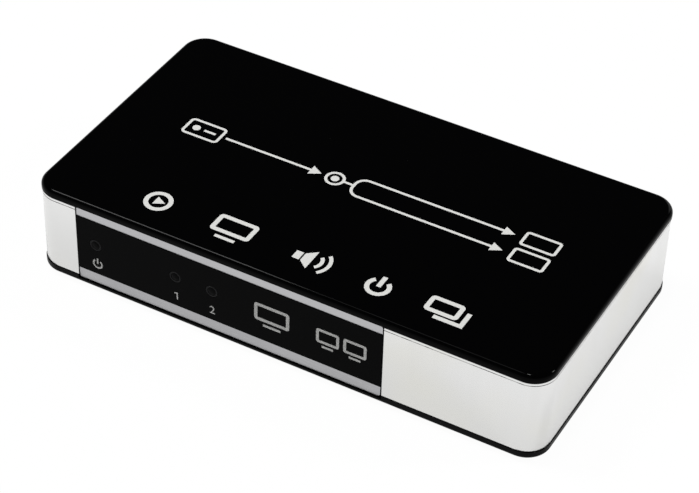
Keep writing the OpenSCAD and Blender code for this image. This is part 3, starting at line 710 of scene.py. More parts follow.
class Blank:
    """A mesh in the making, in millimetres, with the moves that the pieces need."""

    def __init__(self) -> None:
        """Start with nothing."""
        self.bm = bmesh.new()

    def rectangle(self, size: Point, centre: Point = (0.0, 0.0), radius: float = 0.0) -> BMFace:
        """Draw a rectangle.

        Args:
            size: Length in x and y.
            centre: Its middle.
            radius: Radius of its corners, or 0 for sharp ones.

        Returns:
            The flat face.
        """
        verts = bmesh.ops.create_grid(self.bm, x_segments=1, y_segments=1, size=0.5)["verts"]
        bmesh.ops.scale(self.bm, vec=(*size, 1.0), verts=verts)
        bmesh.ops.translate(self.bm, vec=(*centre, 0.0), verts=verts)
        return self.rounded(verts[0].link_faces[0], radius)

    def polygon(self, points: Sequence[Point], radius: float = 0.0) -> BMFace:
        """Draw a flat face on a few points, its corners rounded."""
        return self.rounded(self.bm.faces.new([self.bm.verts.new((*p, 0.0)) for p in points]), radius)

    def circle(self, diameter: float, centre: Point = (0.0, 0.0)) -> BMFace:
        """Draw a disc.

        Args:
            diameter: Its diameter.
            centre: Its middle.

        Returns:
            The flat face.
        """
        verts = bmesh.ops.create_circle(
            self.bm, cap_ends=True, radius=diameter / 2, segments=CIRCLE_STEPS
        )["verts"]
        bmesh.ops.translate(self.bm, vec=(*centre, 0.0), verts=verts)
        return verts[0].link_faces[0]

    def rounded(self, face: BMFace, radius: float) -> BMFace:
        """Round a flat face's corners.

        Args:
            face: The face.
            radius: Radius of the corners; 0 leaves the face as it is.

        Returns:
            The face that takes its place.
        """
        if not radius:
            return face
        made = bmesh.ops.bevel(
            self.bm,
            geom=list(face.verts),
            offset=radius,
            offset_type="OFFSET",
            segments=CORNER_STEPS,
            profile=0.5,
            affect="VERTICES",
            material=-1,
        )
        return made["verts"][0].link_faces[0]

    def opened(self, face: BMFace) -> list[BMEdge]:
        """Take a face away.

        Args:
            face: The face.

        Returns:
            Its edges, which stay.
        """
        edges = list(face.edges)
        bmesh.ops.delete(self.bm, geom=[face], context="FACES_ONLY")
        return edges

    def sheet(self, outline: BMFace, holes: Sequence[BMFace]) -> list[BMFace]:
        """Cut holes in a flat face.

        Args:
            outline: The face.
            holes: Faces that mark the holes.

        Returns:
            The flat faces between the outline and the holes.
        """
        edges = [edge for face in (outline, *holes) for edge in self.opened(face)]
        return only(BMFace, bmesh.ops.triangle_fill(self.bm, use_beauty=True, edges=edges)["geom"])

    def move(self, faces: Sequence[BMFace], matrix: Matrix) -> None:
        """Move faces with their points."""
        verts = unique(vert for face in faces for vert in face.verts)
        bmesh.ops.transform(self.bm, matrix=matrix, verts=verts)

    def stand(self, face: BMFace, level: float) -> None:
        """Stand a flat face up at a level in y."""
        self.move([face], Matrix.Translation((0.0, level, 0.0)) @ FRONT)

    def extrude(self, faces: Sequence[BMFace], height: float) -> list[BMFace]:
        """Extrude faces along z.

        Args:
            faces: The faces.
            height: How far they go.

        Returns:
            The faces at the far end.
        """
        edges = unique(edge for face in faces for edge in face.edges)
        raised = only(BMFace, bmesh.ops.extrude_face_region(self.bm, geom=[*faces, *edges])["geom"])
        self.move(raised, lift(height))
        return raised

    def round_rim(self, faces: Sequence[BMFace], radius: float, steps: int = EDGE_STEPS) -> None:
        """Carry a cap on outwards along a quarter round, so that its rim is rounded.

        Args:
            faces: The cap's faces, which face outwards.
            radius: Radius of the quarter round.
            steps: Steps in it.
        """
        turn = math.pi / 2 / steps
        for step in range(steps):
            before, after = step * turn, (step + 1) * turn
            bmesh.ops.inset_region(
                self.bm,
                faces=list(faces),
                use_boundary=True,
                use_even_offset=True,
                thickness=radius * (math.cos(before) - math.cos(after)),
                depth=radius * (math.sin(after) - math.sin(before)),
            )

    def slab(
        self,
        faces: Sequence[BMFace],
        bottom: float,
        top: float,
        top_round: float = 0.0,
        bottom_round: float = 0.0,
        steps: int = EDGE_STEPS,
    ) -> list[BMFace]:
        """Thicken flat faces at z = 0 into a closed slab.

        Args:
            faces: The flat faces.
            bottom: Where the slab starts.
            top: Where it ends.
            top_round: Radius of its upper rims.
            bottom_round: Radius of its lower rims.
            steps: Steps in each round.

        Returns:
            The faces of its top.
        """
        self.move(faces, lift(bottom + bottom_round))
        raised = self.extrude(faces, top - top_round - bottom - bottom_round)
        bmesh.ops.recalc_face_normals(self.bm, faces=self.bm.faces)
        if top_round:
            self.round_rim(raised, top_round, steps)
        if bottom_round:
            self.round_rim(faces, bottom_round, steps)
        return raised

    def lathe(self, profile: Sequence[Point], centre: Point = (0.0, 0.0)) -> None:
        """Turn a profile about an upright axis.

        Args:
            profile: Radius and height of each point; the same point first and last makes a ring.
            centre: Where the axis stands.
        """
        known = set(self.bm.verts)
        line = [self.bm.verts.new((radius, 0.0, height)) for radius, height in profile]
        edges = [self.bm.edges.new(pair) for pair in zip(line, line[1:])]
        bmesh.ops.spin(
            self.bm,
            geom=line + edges,
            cent=(0.0, 0.0, 0.0),
            axis=(0.0, 0.0, 1.0),
            angle=math.tau,
            steps=CIRCLE_STEPS,
            use_merge=True,
        )
        verts = [vert for vert in self.bm.verts if vert not in known]
        bmesh.ops.translate(self.bm, vec=(*centre, 0.0), verts=verts)
        bmesh.ops.remove_doubles(self.bm, verts=verts, dist=WELD)
        bmesh.ops.recalc_face_normals(self.bm, faces=self.bm.faces)

    def face_at(self, spot: Spot) -> BMFace:
        """The face whose middle is nearest a spot."""
        place = Vector(spot)
        return min(self.bm.faces, key=lambda face: (face.calc_center_median() - place).length)

    def cut(self, faces: Sequence[BMFace], spot: Spot, way: Spot, clear: bool = False) -> list[BMEdge]:
        """Cut faces along a plane.

        Args:
            faces: The faces.
            spot: A point of the plane.
            way: The plane's normal.
            clear: Whether what lies past the plane goes.

        Returns:
            The edges along the cut.
        """
        verts = unique(vert for face in faces for vert in face.verts)
        edges = unique(edge for face in faces for edge in face.edges)
        made = bmesh.ops.bisect_plane(
            self.bm,
            geom=[*verts, *edges, *faces],
            dist=WELD,
            plane_co=spot,
            plane_no=way,
            clear_outer=clear,
        )
        return only(BMEdge, made["geom_cut"])

    def pierce(self, near: BMFace, far: BMFace, holes: Sequence[Sequence[BMFace]]) -> None:
        """Cut holes through a wall.

        Args:
            near: The wall's one face.
            far: Its other face.
            holes: For each hole the outlines along it, from the near face to the far one.
        """
        loops = [[list(outline.edges) for outline in hole] for hole in holes]
        for wall, end in ((near, 0), (far, -1)):
            self.sheet(wall, [hole[end] for hole in holes])
        for hole, lines in zip(holes, loops):
            for outline in hole[1:-1]:
                self.opened(outline)
            for first, second in zip(lines, lines[1:]):
                bmesh.ops.bridge_loops(self.bm, edges=first + second)

    def pocket(
        self,
        face: BMFace,
        floors: Sequence[tuple[BMFace, float]],
        through: Sequence[BMFace] = (),
    ) -> None:
        """Sink pockets into a level face.

        Args:
            face: The face.
            floors: For each pocket its outline, drawn in the face's plane, and how far up its floor is.
            through: Outlines that only open the face.
        """
        copies = []
        for outline, depth in floors:
            copy = bmesh.ops.duplicate(self.bm, geom=[outline])["geom"]
            floor = only(BMFace, copy)[0]
            self.move([floor], lift(depth))
            copies.append(floor)
        rims = [list(outline.edges) for outline, _ in floors]
        self.sheet(face, [*(outline for outline, _ in floors), *through])
        for rim, floor in zip(rims, copies):
            bmesh.ops.bridge_loops(self.bm, edges=rim + list(floor.edges))

    def finish(
        self, name: str, finishes: Sequence[Finish], matrix: Optional[Matrix] = None
    ) -> bpy.types.Object:
        """Turn the blank into a piece of the object.

        Args:
            name: The piece's name.
            finishes: Finishes in the order of the faces' material numbers.
            matrix: Where the piece goes.

        Returns:
            The piece, at the origin, with its place in its mesh.
        """
        place = Matrix.Scale(MM, 4) @ (matrix or Matrix())
        bmesh.ops.recalc_face_normals(self.bm, faces=self.bm.faces)
        lead = self.bm.faces.layers.int.new(LEAD_LAYER)
        for face in self.bm.faces:
            face[lead] = LEAD if max(abs(part) for part in face.normal) > 1.0 - WELD else 0
        bmesh.ops.transform(self.bm, matrix=place, verts=self.bm.verts)
        mesh = bpy.data.meshes.new(name)
        self.bm.to_mesh(mesh)
        self.bm.free()
        mesh.shade_smooth()
        mesh.set_sharp_from_angle(angle=SMOOTH_ANGLE)
        for finish in finishes:
            mesh.materials.append(finish.material())
        piece = bpy.data.objects.new(name, mesh)
        bpy.context.scene.collection.objects.link(piece)
        flat = piece.modifiers.new("flat_faces_lead", "WEIGHTED_NORMAL")
        flat.mode = "CORNER_ANGLE"
        flat.keep_sharp = True
        flat.use_face_influence = True
        return piece


class Print(Blank):
    """Flat shapes of ink, which get their thickness when the print is finished."""

    def __init__(self, face: float) -> None:
        """Start a print on a face at some height."""
        super().__init__()
        self.face = face

    def finish(
        self, name: str, finishes: Sequence[Finish], matrix: Optional[Matrix] = None
    ) -> bpy.types.Object:
        """Join the strokes that meet, thicken the ink and make it a piece.

        Args:
            name: The piece's name.
            finishes: Finishes in the order of the faces' material numbers.
            matrix: Where the piece goes.

        Returns:
            The piece, at the origin, with its place in its mesh.
        """
        bmesh.ops.remove_doubles(self.bm, verts=self.bm.verts, dist=WELD)
        self.slab(list(self.bm.faces), self.face, self.face + INK_DEPTH)
        return super().finish(name, finishes, matrix)

    def bar(self, start: Point, end: Point, width: float) -> None:
        """Draw a straight stroke.

        Args:
            start: Where it starts.
            end: Where it ends.
            width: Its width.
        """
        reach = Vector(end) - Vector(start)
        face = self.rectangle((reach.length, width))
        middle = (Vector(start) + Vector(end)) / 2
        turn = Matrix.Rotation(math.atan2(reach.y, reach.x), 4, "Z")
        self.move([face], Matrix.Translation(middle.to_3d()) @ turn)

    def box(self, centre: Point, size: Point, stroke: float, radius: float) -> None:
        """Draw a rectangle's outline.

        Args:
            centre: Its middle.
            size: Its length in x and y, over the stroke.
            stroke: Width of the stroke.
            radius: Radius of its outer corners.
        """
        inner = (size[0] - 2 * stroke, size[1] - 2 * stroke)
        outline = self.rectangle(size, centre, radius)
        self.sheet(outline, [self.rectangle(inner, centre, max(radius - stroke, INNER_CORNER))])

    def ring(self, centre: Point, diameter: float, stroke: float) -> None:
        """Draw a circle's outline."""
        hole = self.circle(diameter - 2 * stroke, centre)
        self.sheet(self.circle(diameter, centre), [hole])

    def arc(self, centre: Point, radius: float, stroke: float, start: float, sweep: float) -> None:
        """Draw a part of a circle's outline.

        Args:
            centre: The circle's middle.
            radius: Radius at the middle of the stroke.
            stroke: Width of the stroke.
            start: Where it starts, as an angle from x.
            sweep: How far it goes round.
        """
        ends = [
            self.bm.verts.new((centre[0] + reach, centre[1], 0.0))
            for reach in (radius - stroke / 2, radius + stroke / 2)
        ]
        across = self.bm.edges.new(ends)
        middle = (*centre, 0.0)
        turn = Matrix.Rotation(start, 3, "Z")
        bmesh.ops.rotate(self.bm, cent=middle, matrix=turn, verts=ends)
        bmesh.ops.spin(
            self.bm,
            geom=[*ends, across],
            cent=middle,
            axis=(0.0, 0.0, 1.0),
            angle=sweep,
            steps=CORNER_STEPS,
        )

    def head(self, tip: Point, size: Point, turn: float = 0.0) -> None:
        """Draw a solid arrow head.

        Args:
            tip: Its tip.
            size: Its length and width.
            turn: Which way it points, as an angle from x.
        """
        length, width = size
        face = self.polygon([(0.0, 0.0), (-length, width / 2), (-length, -width / 2)])
        self.move([face], Matrix.Translation((*tip, 0.0)) @ Matrix.Rotation(turn, 4, "Z"))

    def arrow(self, tail: Point, tip: Point, stroke: float, head: Point) -> None:
        """Draw a stroke with a solid head.

        Args:
            tail: Where the stroke starts.
            tip: Where the head ends.
            stroke: Width of the stroke.
            head: Length and width of the head.
        """
        reach = Vector(tip) - Vector(tail)
        self.bar(tail, Vector(tip) - reach.normalized() * head[0], stroke)
        self.head(tip, head, math.atan2(reach.y, reach.x))

    def one(self, centre: Point, height: float) -> None:
        """Draw a figure one with a clear flag.

        Args:
            centre: Its middle.
            height: Its height.
        """
        stroke, flag, top = 0.16 * height, 0.32 * height, height / 2
        slope = top - 0.3 * flag
        shape = [
            (0.0, -top),
            (stroke, -top),
            (stroke, top),
            (0.2 * stroke, top),
            (-flag, slope),
            (-flag, slope - stroke),
            (0.0, top - stroke),
        ]
        self.polygon([(centre[0] + x, centre[1] + y) for x, y in shape])

    def numeral(self, text: str, centre: Point, height: float) -> None:
        """Draw a plain number.

        Args:
            text: The number.
            centre: Its middle.
            height: Its height.
        """
        if text == "1":
            self.one(centre, height)
            return
        curve = bpy.data.curves.new("numeral", "FONT")
        curve.body = text
        curve.fill_mode = "FRONT"
        writer = bpy.data.objects.new("numeral", curve)
        bpy.context.scene.collection.objects.link(writer)
        shown = writer.evaluated_get(bpy.context.evaluated_depsgraph_get())
        mesh = bpy.data.meshes.new_from_object(shown)
        known = set(self.bm.verts)
        self.bm.from_mesh(mesh)
        bpy.data.objects.remove(writer)
        bpy.data.curves.remove(curve)
        bpy.data.meshes.remove(mesh)
        verts = [vert for vert in self.bm.verts if vert not in known]
        low = Vector(min(vert.co[axis] for vert in verts) for axis in range(3))
        high = Vector(max(vert.co[axis] for vert in verts) for axis in range(3))
        size = height / (high.y - low.y)
        place = Matrix.Translation((*centre, 0.0)) @ Matrix.Scale(size, 4)
        centred = place @ Matrix.Translation(-(low + high) / 2)
        bmesh.ops.transform(self.bm, matrix=centred, verts=verts)

    def screen(self, centre: Point, size: Point, stroke: float) -> None:
        """Draw a screen on its foot.

        Args:
            centre: The screen's middle.
            size: Its length in x and y.
            stroke: Width of its frame, which sets the foot's place and height.
        """
        corner, drop, thick = 0.9 * stroke, 1.3 * stroke, 0.8 * stroke
        self.box(centre, size, stroke, corner)
        self.rectangle((size[0] / 2, thick), (centre[0], centre[1] - size[1] / 2 - drop))

    def power_sign(self, centre: Point, diameter: float, stroke: float) -> None:
        """Draw a broken ring with an upright stroke in its gap.

        Args:
            centre: The ring's middle.
            diameter: Its diameter.
            stroke: Width of the strokes.
        """
        gap = math.radians(40)
        self.arc(centre, (diameter - stroke) / 2, stroke, math.pi / 2 + gap, math.tau - 2 * gap)
        self.bar(centre, (centre[0], centre[1] + (diameter + stroke) / 2), stroke)


def settle(
    piece: bpy.types.Object, replaces: Sequence[str] = ()
) -> bpy.types.Object:
    """Make a piece part of the object.

    Args:
        piece: The piece.
        replaces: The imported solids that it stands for.

    Returns:
        The piece.
    """
    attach(piece, CASE)
    if replaces:
        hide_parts(*replaces)
    LOG.info("%s: %d faces", piece.name, len(piece.data.polygons))
    return piece


@dataclass
class CoverPrint:
    """The signs on the cover: a player that feeds two screens, and a row of bold signs."""

    # The thin signs: their stroke, and their middle in y.
    thin: float = 0.6
    middle: float = 1.5
    # The player's middle in x, and its dot and its slot from there.
    player: float = -35.4
    player_size: Point = (8.4, 5.2)
    player_corner: float = 1.0
    player_dot: float = -1.8
    player_slot: float = 2.6
    dot: float = 1.7
    # The line from the player to the hub, its start and its tip, and the hub.
    lead: Point = (-30.4, -8.6)
    lead_head: Point = (2.4, 2.8)
    hub: float = -5.6
    hub_size: float = 4.2
    # The branches: radius and end of their bends, how far they part, and their tips.
    bend: float = 2.1
    bend_end: float = 0.7
    spread: float = 2.7
    branch_tip: float = 32.0
    branch_head: Point = (2.4, 2.6)
    # The screens that they lead to.
    screen: float = 37.4
    screen_size: Point = (7.6, 4.4)
    screen_corner: float = 0.8
    # The bold signs: their stroke, and their middle in y.
    bold: float = 0.95
    row: float = -22.0
    # The play sign's ring, and the head in it.
    play: float = -31.0
    play_size: float = 5.8
    play_tip: float = 1.5
    play_head: Point = (2.2, 2.4)
    # The single screen, from the row's middle.
    single: Point = (-14.4, 0.7)
    single_size: Point = (8.6, 5.0)
    # The loudspeaker: its box, the half-heights along its horn, and its waves.
    sound: float = 0.0
    sound_box: Point = (1.5, 2.2)
    sound_back: float = -0.2
    horn: tuple[Point, Point] = ((0.9, 1.1), (2.9, 2.7))
    wave_start: float = 2.6
    wave_sizes: Point = (2.2, 3.8)
    wave_stroke: float = 0.76
    # The power sign, from the row's middle.
    power: Point = (17.0, -0.3)
    power_size: float = 5.2
    # The double screen, and the ends of the stroke that shows the second one.
    double: Point = (30.2, 0.8)
    double_size: Point = (7.0, 4.4)
    double_corner: float = 0.9
    double_shade: tuple[Point, Point] = ((-0.8, -2.3), (4.8, 1.6))

    def build(self) -> None:
        """Build the print."""
        marks = Print(span("top_cover")[1].z - INK_DEPTH)
        self.source(marks)
        self.branches(marks)
        self.play_sign(marks)
        marks.screen((self.single[0], self.row + self.single[1]), self.single_size, self.bold)
        self.sound_sign(marks)
        marks.power_sign((self.power[0], self.row + self.power[1]), self.power_size, self.bold)
        self.double_sign(marks)
        settle(marks.finish("top_print", [INK]))

    def source(self, marks: Print) -> None:
        """Draw the player and the line to the hub.

        Args:
            marks: The print that they go in.
        """
        level = self.middle
        marks.box((self.player, level), self.player_size, self.thin, self.player_corner)
        marks.circle(self.dot, (self.player + self.player_dot, level))
        marks.bar((self.player, level), (self.player + self.player_slot, level), self.thin)
        marks.arrow((self.lead[0], level), (self.lead[1], level), self.thin, self.lead_head)
        marks.ring((self.hub, level), self.hub_size, self.thin)
        marks.circle(self.dot, (self.hub, level))

    def branches(self, marks: Print) -> None:
        """Draw the two branches from the hub, each to its screen.

        Args:
            marks: The print that they go in.
        """
        stem, rise = self.bend_end - self.bend, self.spread - self.bend
        start = (self.hub + self.hub_size / 2, self.middle)
        marks.bar(start, (stem - self.thin / 2, self.middle), self.thin)
        marks.bar((stem, self.middle - rise), (stem, self.middle + rise), self.thin)
        for side, turn in ((-1, math.pi), (1, math.pi / 2)):
            pivot, level = self.middle + side * rise, self.middle + side * self.spread
            marks.arc((self.bend_end, pivot), self.bend, self.thin, turn, math.pi / 2)
            marks.arrow((self.bend_end, level), (self.branch_tip, level), self.thin, self.branch_head)
            marks.box((self.screen, level), self.screen_size, self.thin, self.screen_corner)

    def play_sign(self, marks: Print) -> None:
        """Draw a ring with a play head."""
        marks.ring((self.play, self.row), self.play_size, self.bold)
        marks.head((self.play + self.play_tip, self.row), self.play_head)

    def sound_sign(self, marks: Print) -> None:
        """Draw a loudspeaker with two waves.

        Args:
            marks: The print that it goes in.
        """
        x, y = self.sound, self.row
        marks.rectangle(self.sound_box, (x + self.sound_back, y))
        (back, throat), (front, mouth) = self.horn
        horn = [(back, -throat), (front, -mouth), (front, mouth), (back, throat)]
        marks.polygon([(x + along, y + across) for along, across in horn])
        for radius in self.wave_sizes:
            start = (x + self.wave_start, y)
            marks.arc(start, radius, self.wave_stroke, -math.pi / 4, math.pi / 2)

    def double_sign(self, marks: Print) -> None:
        """Draw a screen with the corner of a second one behind it.

        Args:
            marks: The print that it goes in.
        """
        x, y = self.double[0], self.row
        marks.box((x, y + self.double[1]), self.double_size, self.bold, self.double_corner)
        (left, foot), (side, top) = self.double_shade
        half = self.bold / 2
        left, bottom, right, top = x + left, y + foot - half, x + side + half, y + top
        inner_x, inner_y = right - self.bold, bottom + self.bold
        inner = [(inner_x, top), (inner_x, inner_y), (left, inner_y)]
        marks.polygon([(left, bottom), (right, bottom), (right, top), *inner])


@dataclass
class CaseShell:
    """The cover with its print, the band and the base, with the feet under it."""

    # Radius of the case's corners, thickness of the band's wall and round of its edges.
    corner: float = 5.0
    wall: float = 1.6
    edge: float = 0.12
    # The cover's rounded edge, and the shadow gap below it.
    cover_round: float = 1.0
    cover_steps: int = 8
    cover_gap: float = 0.2
    # Thickness and height of the rims in the band, and their gaps to it and to the rear panel.
    rim: Point = (1.2, 2.0)
    rim_gap: float = 0.2
    rim_end: float = 0.4
    # How far the rims and the bosses reach into the plate that carries them.
    sunk: float = 0.2
    # The seam round the band, from the band's upper edge down.
    seam_drop: float = 0.5
    seam_width: float = 0.16
    seam_slope: float = 0.02
    seam_depth: float = 0.06
    # The gaps below the label, and at its left and right end.
    label_gap: float = 0.2
    label_ends: Point = (0.05, 0.36)
    # The rear window's bevel and corners, and the gap round a lens.
    window_edge: float = 0.2
    window_corner: float = 0.6
    lens_gap: float = 0.06
    # The base's rounded edge, and the shallow bare field under it.
    base_round: float = 0.8
    base_steps: int = 6
    field_size: Point = (52.0, 27.0)
    field_corner: float = 2.0
    field_depth: float = 0.25
    # A foot: its pocket's diameter and depth, its cup, and insets and heights up its side.
    foot_pocket: Point = (8.1, 0.5)
    foot_gap: float = 0.05
    foot_cup: float = 0.22
    foot_side: tuple[Point, ...] = ((1.7, 0.2), (1.3, 0.0), (0.5, 0.0), (0.18, 0.1), (0.0, 0.36))
    # A screw's pocket, diameter and depth, and where the screws stand from the middle.
    screw_pocket: Point = (4.8, 2.2)
    screw_spots: Point = (46.5, 19.5)
    # Outer and inner diameter of the cover's bosses and of the base's posts.
    boss: Point = (6.0, 2.2)
    post: Point = (6.4, 3.2)

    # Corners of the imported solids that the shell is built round.
    low: Vector = field(init=False)
    high: Vector = field(init=False)
    band_low: Vector = field(init=False)
    band_high: Vector = field(init=False)
    plate_low: Vector = field(init=False)
    plate_high: Vector = field(init=False)
    board_low: Vector = field(init=False)
    board_high: Vector = field(init=False)

    def __post_init__(self) -> None:
        """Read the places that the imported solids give."""
        self.low = span("base_plate")[0]
        self.high = span("top_cover")[1]
        self.band_low, self.band_high = span("side_band")
        self.plate_low, self.plate_high = span("front_plate")
        self.board_low, self.board_high = span("circuit_board")

    @property
    def size(self) -> Point:
        """Length and depth of the case."""
        return (self.high.x - self.low.x, self.high.y - self.low.y)

    @property
    def inner(self) -> Point:
        """Length and depth inside the band."""
        reach = self.band_high - self.band_low
        return (reach.x - 2 * self.wall, reach.y - 2 * self.wall)

    @property
    def notch(self) -> Point:
        """Left and right end of the recess for the label."""
        return (self.plate_low.x - self.label_ends[0], self.plate_high.x + self.label_ends[1])

    @property
    def foot_width(self) -> float:
        """A foot's diameter, which leaves a small gap in its pocket."""
        return self.foot_pocket[0] - 2 * self.foot_gap

    def build(self) -> None:
        """Build the shell's pieces."""
        self.cover()
        CoverPrint().build()
        self.band()
        self.base()
        self.feet()

    def spots(self) -> list[Point]:
        """Where the four screws stand."""
        return corners(*self.screw_spots)

    def foot_spots(self) -> list[Point]:
        """Find where the four feet stand.

        Returns:
            Their middles.
        """
        high = span("rubber_feet")[1]
        reach = self.foot_width / 2
        return corners(high.x - reach, high.y - reach)

    def tube(self, blank: Blank, spot: Point, size: Point, bottom: float, top: float) -> None:
        """Add an upright tube.

        Args:
            blank: The mesh it goes in.
            spot: Where it stands.
            size: Its outer and inner diameter.
            bottom: Where it starts.
            top: Where it ends.
        """
        faces = blank.sheet(blank.circle(size[0], spot), [blank.circle(size[1], spot)])
        blank.slab(faces, bottom, top)

    def skirt(self, blank: Blank, bottom: float, top: float) -> None:
        """Add the rim that stands inside the band, open towards the rear panel.

        Args:
            blank: The mesh it goes in.
            bottom: Where it starts.
            top: Where it ends.
        """
        known = set(blank.bm.faces)
        outer = tuple(length - 2 * self.rim_gap for length in self.inner)
        inner = tuple(length - 2 * self.rim[0] for length in outer)
        radius = self.corner - self.wall - self.rim_gap
        hole = blank.rectangle(inner, radius=radius - self.rim[0])
        blank.slab(blank.sheet(blank.rectangle(outer, radius=radius), [hole]), bottom, top)
        faces = [face for face in blank.bm.faces if face not in known]
        end = span("rear_panel")[0].y - self.rim_end
        ends = blank.cut(faces, (0.0, end, 0.0), (0.0, 1.0, 0.0), clear=True)
        bmesh.ops.edgeloop_fill(blank.bm, edges=ends)

    def cover(self) -> None:
        """Build the gloss cover, with its rim and screw bosses."""
        blank = Blank()
        under, top = self.band_high.z, self.high.z - INK_DEPTH
        face = blank.rectangle(self.size, radius=self.corner)
        blank.slab([face], under, top, self.cover_round, 0.0, self.cover_steps)
        self.skirt(blank, under - self.rim[1], under + self.sunk)
        for spot in self.spots():
            self.tube(blank, spot, self.boss, self.board_high.z, under + self.sunk)
        piece = blank.finish("cover", [FINISHES[Slot.COVER]])
        settle(piece, ["top_cover"])

    def notched(self, blank: Blank, outline: BMFace) -> list[BMVert]:
        """Put the corners of the label's recess on the front edge of an outline.

        Args:
            blank: The mesh that holds the outline.
            outline: The outline.

        Returns:
            The two new points, from left to right.
        """
        front = min(outline.edges, key=lambda edge: sum(vert.co.y for vert in edge.verts))
        ends = list(front.verts)
        level = ends[0].co.y
        made = only(BMVert, bmesh.ops.bisect_edges(blank.bm, edges=[front], cuts=2)["geom_split"])
        points = sorted((vert for vert in made if vert not in ends), key=lambda vert: vert.co.x)
        for point, place in zip(points, self.notch):
            point.co = (place, level, 0.0)
        return points

    def split(self, outline: BMFace, left: BMVert, right: BMVert) -> tuple[BMFace, BMFace]:
        """Part the label's recess from an outline.

        Args:
            outline: The outline.
            left: The recess's left corner on its front edge.
            right: The right corner.

        Returns:
            The recess's face and the rest of the outline.
        """
        level, back = left.co.z, self.plate_high.y
        path = [(left.co.x, back, level), (right.co.x, back, level)]
        other, _ = bmesh.utils.face_split(outline, left, right, coords=path)
        strip, rest = sorted((outline, other), key=lambda face: face.calc_area())
        return strip, rest

    def skin(self, blank: Blank) -> list[BMFace]:
        """Find the band's outer wall, without the recess for the label.

        Args:
            blank: The band's mesh.

        Returns:
            The wall's faces.
        """
        floor = self.plate_high.y - self.edge
        found = []
        for face in blank.bm.faces:
            middle = face.calc_center_median()
            upright = abs(face.normal.z) < UPRIGHT
            outward = face.normal.x * middle.x + face.normal.y * middle.y > 0
            recess = self.notch[0] < middle.x < self.notch[1] and floor < middle.y < 0
            if upright and outward and not recess:
                found.append(face)
        return found

    def recess_walls(self, blank: Blank) -> list[BMFace]:
        """Find the walls and the floor of the recess for the label.

        Args:
            blank: The band's mesh.

        Returns:
            Their faces.
        """
        left, right = self.notch
        front, back = self.band_low.y + self.edge, self.plate_high.y + WELD
        found = []
        for face in blank.bm.faces:
            middle = face.calc_center_median()
            inside = left - WELD < middle.x < right + WELD and front < middle.y <= back
            if inside and abs(face.normal.z) < UPRIGHT:
                found.append(face)
        return found

    def band(self) -> None:
        """Build the bright band, with its recess, its rear window and the fine seam under the cover."""
        blank = Blank()
        low, high = self.band_low, self.band_high
        size = (high.x - low.x, high.y - low.y)
        radius = self.corner - (self.size[0] - size[0]) / 2
        outline = blank.rectangle(size, radius=radius)
        strip, outline = self.split(outline, *self.notched(blank, outline))
        bmesh.ops.delete(blank.bm, geom=[strip], context="FACES")
        hole = blank.rectangle(self.inner, radius=radius - self.wall)
        top = high.z - self.cover_gap
        blank.slab(blank.sheet(outline, [hole]), low.z, top, self.edge, self.edge)
        middle = (low.z + top) / 2
        self.rear_window(blank, middle)
        self.lens_holes(blank, middle)
        # The seam's dark stretches and the recess's walls and floor are painted shade.
        finishes = [FINISHES[Slot.BAND], SEAM, RECESS_SHADE]
        for faces, finish in ((self.seam(blank), SEAM), (self.recess_walls(blank), RECESS_SHADE)):
            for face in faces:
                face.material_index = finishes.index(finish)
        settle(blank.finish("band", finishes), ["side_band"])

    def rear_window(self, blank: Blank, middle: float) -> None:
        """Cut the opening for the rear panel.

        Args:
            blank: The band's mesh.
            middle: Height of the band's middle.
        """
        centre, size = facing("rear_panel")
        outer, inner = self.band_high.y, self.band_high.y - self.wall
        near, far = (blank.face_at((0.0, y, middle)) for y in (outer, inner))
        outlines = []
        for level, grow in ((outer, self.window_edge), (outer - self.window_edge, 0.0), (inner, 0.0)):
            window = tuple(length + 2 * (grow - PANEL_LIP) for length in size)
            face = blank.rectangle(window, centre, self.window_corner + grow)
            blank.stand(face, level)
            outlines.append(face)
        blank.pierce(near, far, [outlines])

    def lens_holes(self, blank: Blank, middle: float) -> None:
        """Bore the holes for the three indicator lenses.

        Args:
            blank: The band's mesh.
            middle: Height of the band's middle.
        """
        outer, inner = self.plate_high.y, self.band_low.y + self.wall
        near = blank.face_at((sum(self.notch) / 2, outer, middle))
        far = blank.face_at((0.0, inner, middle))
        holes = []
        for lens in LENSES:
            centre, size = facing(lens)
            hole = [blank.circle(size[0] + 2 * self.lens_gap, centre) for _ in (outer, inner)]
            for face, level in zip(hole, (outer, inner)):
                blank.stand(face, level)
            holes.append(hole)
        blank.pierce(near, far, holes)

    def seam(self, blank: Blank) -> list[BMFace]:
        """Press the fine seam round the band.

        Args:
            blank: The band's mesh.

        Returns:
            The seam's faces.
        """
        bmesh.ops.recalc_face_normals(blank.bm, faces=blank.bm.faces)
        top = self.band_high.z - self.cover_gap - self.seam_drop
        bottom = top - self.seam_width
        for level in (top, bottom):
            blank.cut(self.skin(blank), (0.0, 0.0, level), (0.0, 0.0, 1.0))
        strip = [face for face in self.skin(blank) if bottom < face.calc_center_median().z < top]
        made = bmesh.ops.inset_region(
            blank.bm,
            faces=strip,
            use_boundary=True,
            use_even_offset=True,
            thickness=self.seam_slope,
            depth=-self.seam_depth,
        )
        return strip + made["faces"]

